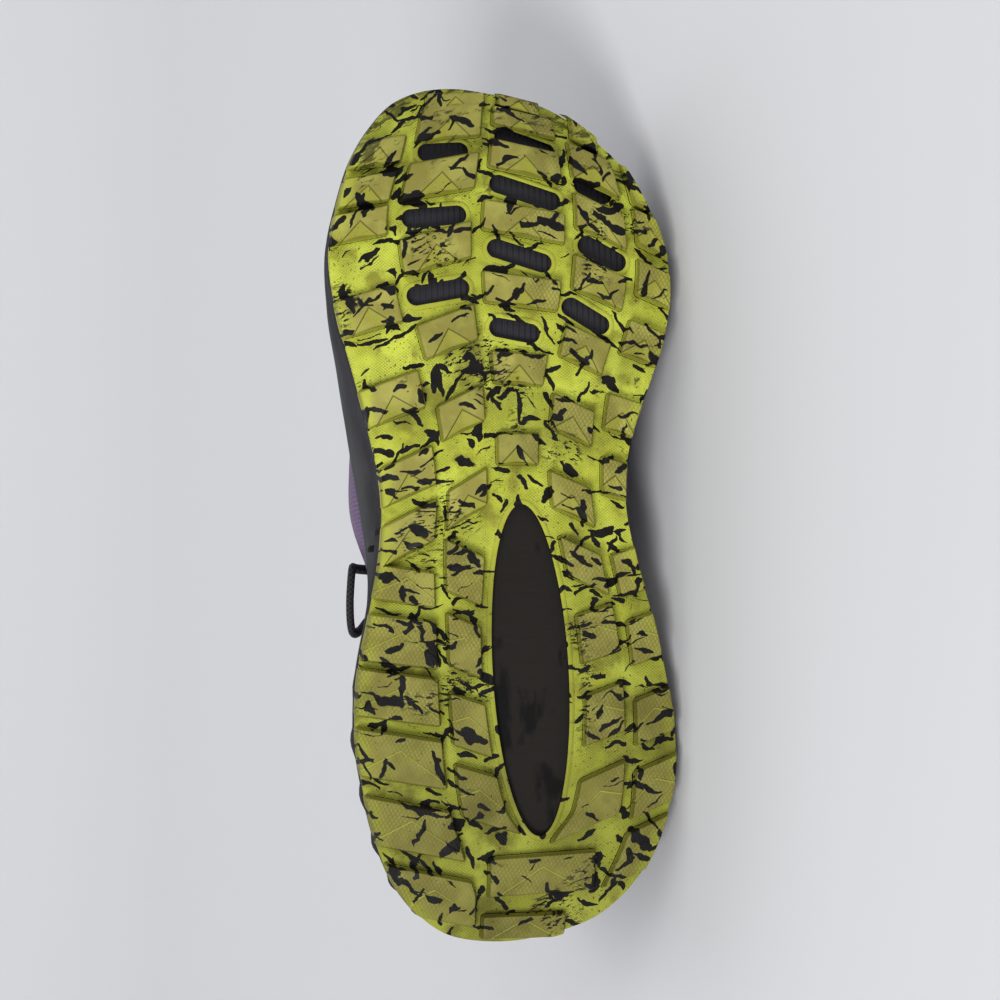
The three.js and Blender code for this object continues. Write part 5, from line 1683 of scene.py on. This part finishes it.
def tongue():
    out, inside = tongue_rows(0.0), tongue_rows(TONGUE)
    middle = out[-1, TONGUE_MIDDLE]
    climb = middle - out[-8, TONGUE_MIDDLE]
    climb /= np.linalg.norm(climb)
    tip = []
    for reach in TIP_STEPS:
        rows = np.stack([out[-1], inside[-1]]) + climb * reach * TONGUE_REACH
        rows[..., 1] = middle[1] + (rows[..., 1] - middle[1]) * np.interp(reach, *TIP_WIDTH)
        rows[1] += (rows[0] - rows[1]) * np.interp(reach, *TIP_CLOSING)
        tip.append(rows)
    tip = np.stack(tip, axis=1)
    loop = np.concatenate([np.concatenate([out, tip[0]]), np.concatenate([inside, tip[1]])[:, ::-1]], axis=1)
    piece = make("tongue_pad", loop.reshape(-1, 3), capped_faces(*loop.shape[:2]), [TONGUE_FINISH])
    tidy_mesh(piece)
    sharpen(piece, 60)
    hand_in(piece, "tongue_cloth", "tongue")


INSOLE_SPANS = 24
INSOLE_STATIONS = 180

# How far in from the rim's inner edge, and how high over the floor of the cup
INSOLE_PROFILE = [(1.6, GAP), (1.2, INSOLE - 0.6), (1.5, INSOLE + GAP)]


def insole():
    angles = np.linspace(0, 2 * math.pi, INSOLE_STATIONS + 1)[:-1]
    inset = rim_inset(outline(angles)[:, 0], angles) + RIM_IN + GAP

    def edge(more, up):
        return ring(angles, -inset - more, lambda y, at: footbed(at) + up)

    rings = [edge(more, up) for more, up in INSOLE_PROFILE]
    points, faces = loft(rings, lambda x, y: footbed(x) + GAP, lambda x, y: footbed(x) + INSOLE + GAP,
                         INSOLE_SPANS)
    piece = make("insole_foam", points, faces, [LINING_FINISH])
    tidy_mesh(piece)
    sharpen(piece, 50)
    hand_in(piece, "insole_cloth", "insole")


tongue()
insole()

# %% [markdown]
# ### Braided cord
# The lace is a black braid. Two sets of fine ridges that wind round it in opposite ways stand for the
# yarns.

# %% The finish and the shape of the lace
BRAID = "#0c0b0d"
BRAID_PALE = "#2c2a2e"
YARN_PITCH = 1.2
YARN_LEAN = 40


def lace_finish():
    material, tree, shader = new_material("braided_polyester", 0.8, 0.3)
    place = attribute(tree, "shoe")
    one_way, other_way = (stretched(tree, place, 1000, lean) for lean in (YARN_LEAN, -YARN_LEAN))
    braid = largest(tree, waves(tree, one_way, YARN_PITCH, "X"), waves(tree, other_way, YARN_PITCH, "X"))
    tree.links.new(mix(tree, fade(tree, braid, 0.4, 1.0), BRAID, BRAID_PALE), shader.inputs["Base Color"])
    bumped(tree, shader, braid, 0.3, 0.8)
    return material


LACE_FINISH = lace_finish()


def spline(points, count):
    """A smooth open curve through points, at even steps, and its length."""
    p = np.asarray(points, float)
    ends = np.concatenate([[2 * p[0] - p[1]], p, [2 * p[-1] - p[-2]]])
    t = np.linspace(0, len(p) - 1, count * 4)
    i = np.clip(t.astype(int), 0, len(p) - 2)
    f = (t - i)[:, None]
    a, b, c, d = ends[i], ends[i + 1], ends[i + 2], ends[i + 3]
    fine = 0.5 * (2 * b + (c - a) * f + (2 * a - 5 * b + 4 * c - d) * f**2 + (3 * b - a - 3 * c + d) * f**3)
    run = np.concatenate([[0], np.cumsum(np.linalg.norm(np.diff(fine, axis=0), axis=1))])
    even = np.linspace(0, run[-1], count)
    return np.stack([np.interp(even, run, fine[:, k]) for k in range(3)], axis=1), run[-1]


TUBE_SIDES = 14


def tube(path, width, thick):
    """A tube along a path, closed at both ends, a little flattened."""
    along = np.gradient(path, axis=0)
    along /= np.linalg.norm(along, axis=1, keepdims=True)
    u = np.cross(along[0], [0.3, 0.2, 1.0])
    a = whole_turn(TUBE_SIDES)
    rings = []
    for p, t in zip(path, along):
        u = u - t * np.dot(u, t)
        u /= np.linalg.norm(u)
        v = np.cross(t, u)
        rings.append(p + np.cos(a)[:, None] * u * width / 2 + np.sin(a)[:, None] * v * thick / 2)
    return np.concatenate(rings), capped_faces(len(path), TUBE_SIDES)


def tubes(parts):
    """Several tubes as one mesh."""
    points, faces, start = [], [], 0
    for more, quads in parts:
        points.append(more)
        faces += [tuple(start + k for k in quad) for quad in quads]
        start += len(more)
    return np.concatenate(points), faces


# %% Lace bars through the eyelets
LACE_LIFT = OVERLAY + GAP + LACE / 2 + GAP
EYELET_DEPTH = -4.0
SEAT_LIFT = LACE_LIFT - 1.2
RIM_LIFT = LACE_LIFT + 0.8

# A bar crosses the rim of the throat nearer to its own eyelet than to the one that it goes to
OWN_SHARE = 0.75

# How far a bar rises between the rims. Of two bars that cross, one goes over the other.
HUMPS = {"first": 1.0, "last": 3.0, "under": 2.0, "over": 3.4}
BAR_STEPS = 40
BAR_FLATNESS = 0.8


def bar_route(i, j, side, hump):
    """Up through eyelet i of one side, over the tongue with a hump, and down through j of the other."""
    def over_rim(n, m, end):
        angle = eyelet_angle(n, end) * OWN_SHARE + eyelet_angle(m, end) * (1 - OWN_SHARE)
        return skin(angle, 1.0, RIM_LIFT)

    def through(n, end):
        return [skin(eyelet_angle(n, end), EYELET_RISE, lift) for lift in (EYELET_DEPTH, SEAT_LIFT)]

    a, b = over_rim(i, j, side), over_rim(j, i, -side)
    return [*through(i, side), a, (a + b) / 2 + [0, 0, hump], b, *through(j, -side)[::-1]]


def lace_bars():
    top = EYELETS - 1
    routes = [bar_route(0, 0, -1, HUMPS["first"]), bar_route(top, top, -1, HUMPS["last"])]
    for i in range(top):
        routes += [bar_route(i, i + 1, -1, HUMPS["under"]), bar_route(i, i + 1, 1, HUMPS["over"])]
    points, faces = tubes(tube(spline(route, BAR_STEPS)[0], LACE, LACE * BAR_FLATNESS) for route in routes)
    piece = make("lace_bars", points, faces, [LACE_FINISH])
    tidy_mesh(piece)
    sharpen(piece, 60)
    hand_in(piece, "lace_cord", "lace_crossings")


lace_bars()

# %% The knot and the loop of the bow
KNOT_RADII = (1.45, 1.95, 2.7)
KNOT_STEPS = 120
KNOT_FLATNESS = 0.85
LOOP_STEPS = 160
LOOP_FLATNESS = 0.75

# A stub is a little wider and flatter than the loop. It bends out and reaches a little into the loop.
STUB_STEPS = 12
STUB_WIDTH = 1.02
STUB_FLATNESS = 0.78
STUB_BEND = 0.12
STUB_REACH = 0.06

# The path of the loop on the shoe's axes
LOOP = [
    (126.5, -7.2, 112.6), (124.0, -14.0, 112.2), (121.5, -20.5, 108.5), (119.8, -26.0, 101.8),
    (119.5, -31.2, 93.0), (120.0, -36.5, 82.0), (120.5, -40.8, 70.5), (121.0, -43.7, 59.0),
    (121.5, -45.3, 48.0), (121.8, -46.4, 39.5), (120.8, -47.0, 33.0), (117.0, -47.5, 29.4),
    (111.0, -47.8, 28.4), (105.0, -47.5, 30.2), (101.0, -46.6, 35.6), (99.9, -44.9, 43.0),
    (100.6, -42.8, 52.0), (102.5, -40.4, 62.0), (105.0, -37.2, 72.5), (107.5, -33.8, 82.0),
    (110.0, -30.0, 91.6), (112.6, -26.0, 100.5), (115.0, -20.5, 107.5), (118.5, -13.8, 112.2),
    (122.3, -5.9, 113.4),
]


def bow():
    low, high = (to_shoe(np.array(corner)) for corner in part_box("lace_knot"))
    centre = (low + high) / 2
    # The knot is a trefoil
    winds = np.linspace(0, 2 * math.pi, KNOT_STEPS)
    away = 2 + np.cos(3 * winds)
    knotted = np.stack([away * np.cos(2 * winds), away * np.sin(2 * winds), np.sin(3 * winds)], axis=1)
    route = centre + knotted * KNOT_RADII
    parts = [tube(route, LACE, LACE * KNOT_FLATNESS)]
    # Two stubs lead from the knot into the ends of the loop
    for end, before in np.array([(LOOP[0], LOOP[1]), (LOOP[-1], LOOP[-2])]):
        outer = (centre + end) / 2 + (end - before) * STUB_BEND
        stub, _ = spline([centre, outer, end, end + (before - end) * STUB_REACH], STUB_STEPS)
        parts.append(tube(stub, LACE * STUB_WIDTH, LACE * STUB_FLATNESS))
    knot = make("bow_knot", *tubes(parts), [LACE_FINISH])
    tidy_mesh(knot)
    sharpen(knot, 60)
    hand_in(knot, "lace_cord", "lace_knot")
    path, length = spline(LOOP, LOOP_STEPS)
    loop = make("bow_loop", *tube(path, LACE, LACE * LOOP_FLATNESS), [LACE_FINISH])
    tidy_mesh(loop)
    sharpen(loop, 60)
    hand_in(loop, "lace_cord", "lace_loop")
    tuple(to_frame(LOOP[0]))
    [tuple(p) for p in to_frame(path)]


bow()

# %% [markdown]
# ## Floor, light and camera
# The photo looks at the sole almost straight on, from a little over its inner edge. The camera is
# rolled, so that the toe points up. The floor is plain and pale and curves up behind the shoe.

# %% The floor, in metres
FLOOR = "#cfcfd1"
FLAT_TO = 0.6
BEND = 0.8


def floor():
    material, _, shader = new_material("plain_floor", 0.9, 0.2)
    shader.inputs["Base Color"].default_value = hex_colour(FLOOR)
    run = [(y, 0.0) for y in (-3.0, -1.0, 0.0, FLAT_TO)]
    turns = np.linspace(0.1, math.pi / 2, 14)
    run += [(FLAT_TO + BEND * math.sin(t), BEND - BEND * math.cos(t)) for t in turns]
    run += [(FLAT_TO + BEND, 2.0), (FLAT_TO + BEND, 4.0)]
    mesh = bpy.data.meshes.new("floor")
    points = [(x, y, z) for x in (-4.0, 4.0) for y, z in run]
    n = len(run)
    mesh.from_pydata(points, [], [(i, n + i, n + i + 1, i + 1) for i in range(n - 1)])
    mesh.polygons.foreach_set("use_smooth", [True] * len(mesh.polygons))
    mesh.materials.append(material)
    sheet = bpy.data.objects.new("floor", mesh)
    bpy.context.scene.collection.objects.link(sheet)


floor()

# %% Lights, in metres and watts
LIT_PLACE = (0, 0, 0.05)
ROOM = "#e8eaee"
ROOM_STRENGTH = 0.6


def soft_light(name, place, size, power):
    data = bpy.data.lights.new(name, "AREA")
    data.shape = "DISK"
    data.size = size
    data.energy = power
    lamp = bpy.data.objects.new(name, data)
    lamp.location = place
    lamp.rotation_euler = (Vector(LIT_PLACE) - Vector(place)).to_track_quat("-Z", "Y").to_euler()
    bpy.context.scene.collection.objects.link(lamp)


soft_light("key", (-1.1, -1.9, 1.3), 0.9, 48)
soft_light("fill", (1.4, -1.7, 1.0), 1.6, 15)
soft_light("back", (0.3, 1.2, 1.4), 1.4, 9)
world = bpy.data.worlds.new("studio")
bpy.context.scene.world = world
world.use_nodes = True
world.node_tree.nodes["Background"].inputs["Color"].default_value = hex_colour(ROOM)
world.node_tree.nodes["Background"].inputs["Strength"].default_value = ROOM_STRENGTH
bpy.context.scene.view_settings.view_transform = "Standard"

# %% The camera, in millimetres and degrees
VIEW_TILT = 6.3
VIEW_ROLL = 0.5
VIEW_DISTANCE = 900
VIEW_WIDTH = 325
SENSOR_WIDTH = 36
AIM = (145.0, -0.46, 8.0)


def camera():
    tilt = math.radians(VIEW_TILT)
    away = AXES @ np.array([0, -math.sin(tilt), -math.cos(tilt)])
    aim = Vector(to_frame(AIM))
    place = aim + Vector(away) * VIEW_DISTANCE * MM
    back = Vector(away)
    up = Vector(AXES @ np.array([1, 0, 0]))
    up = Matrix.Rotation(math.radians(VIEW_ROLL), 3, back) @ (up - back * up.dot(back)).normalized()
    data = bpy.data.cameras.new("camera")
    data.sensor_width = SENSOR_WIDTH
    data.lens = SENSOR_WIDTH * VIEW_DISTANCE / VIEW_WIDTH
    data.clip_start = 0.01
    cam = bpy.data.objects.new("camera", data)
    turn = Matrix((up.cross(back), up, back)).transposed()
    cam.matrix_world = Matrix.Translation(place) @ turn.to_4x4()
    bpy.context.scene.collection.objects.link(cam)
    bpy.context.scene.camera = cam


camera()
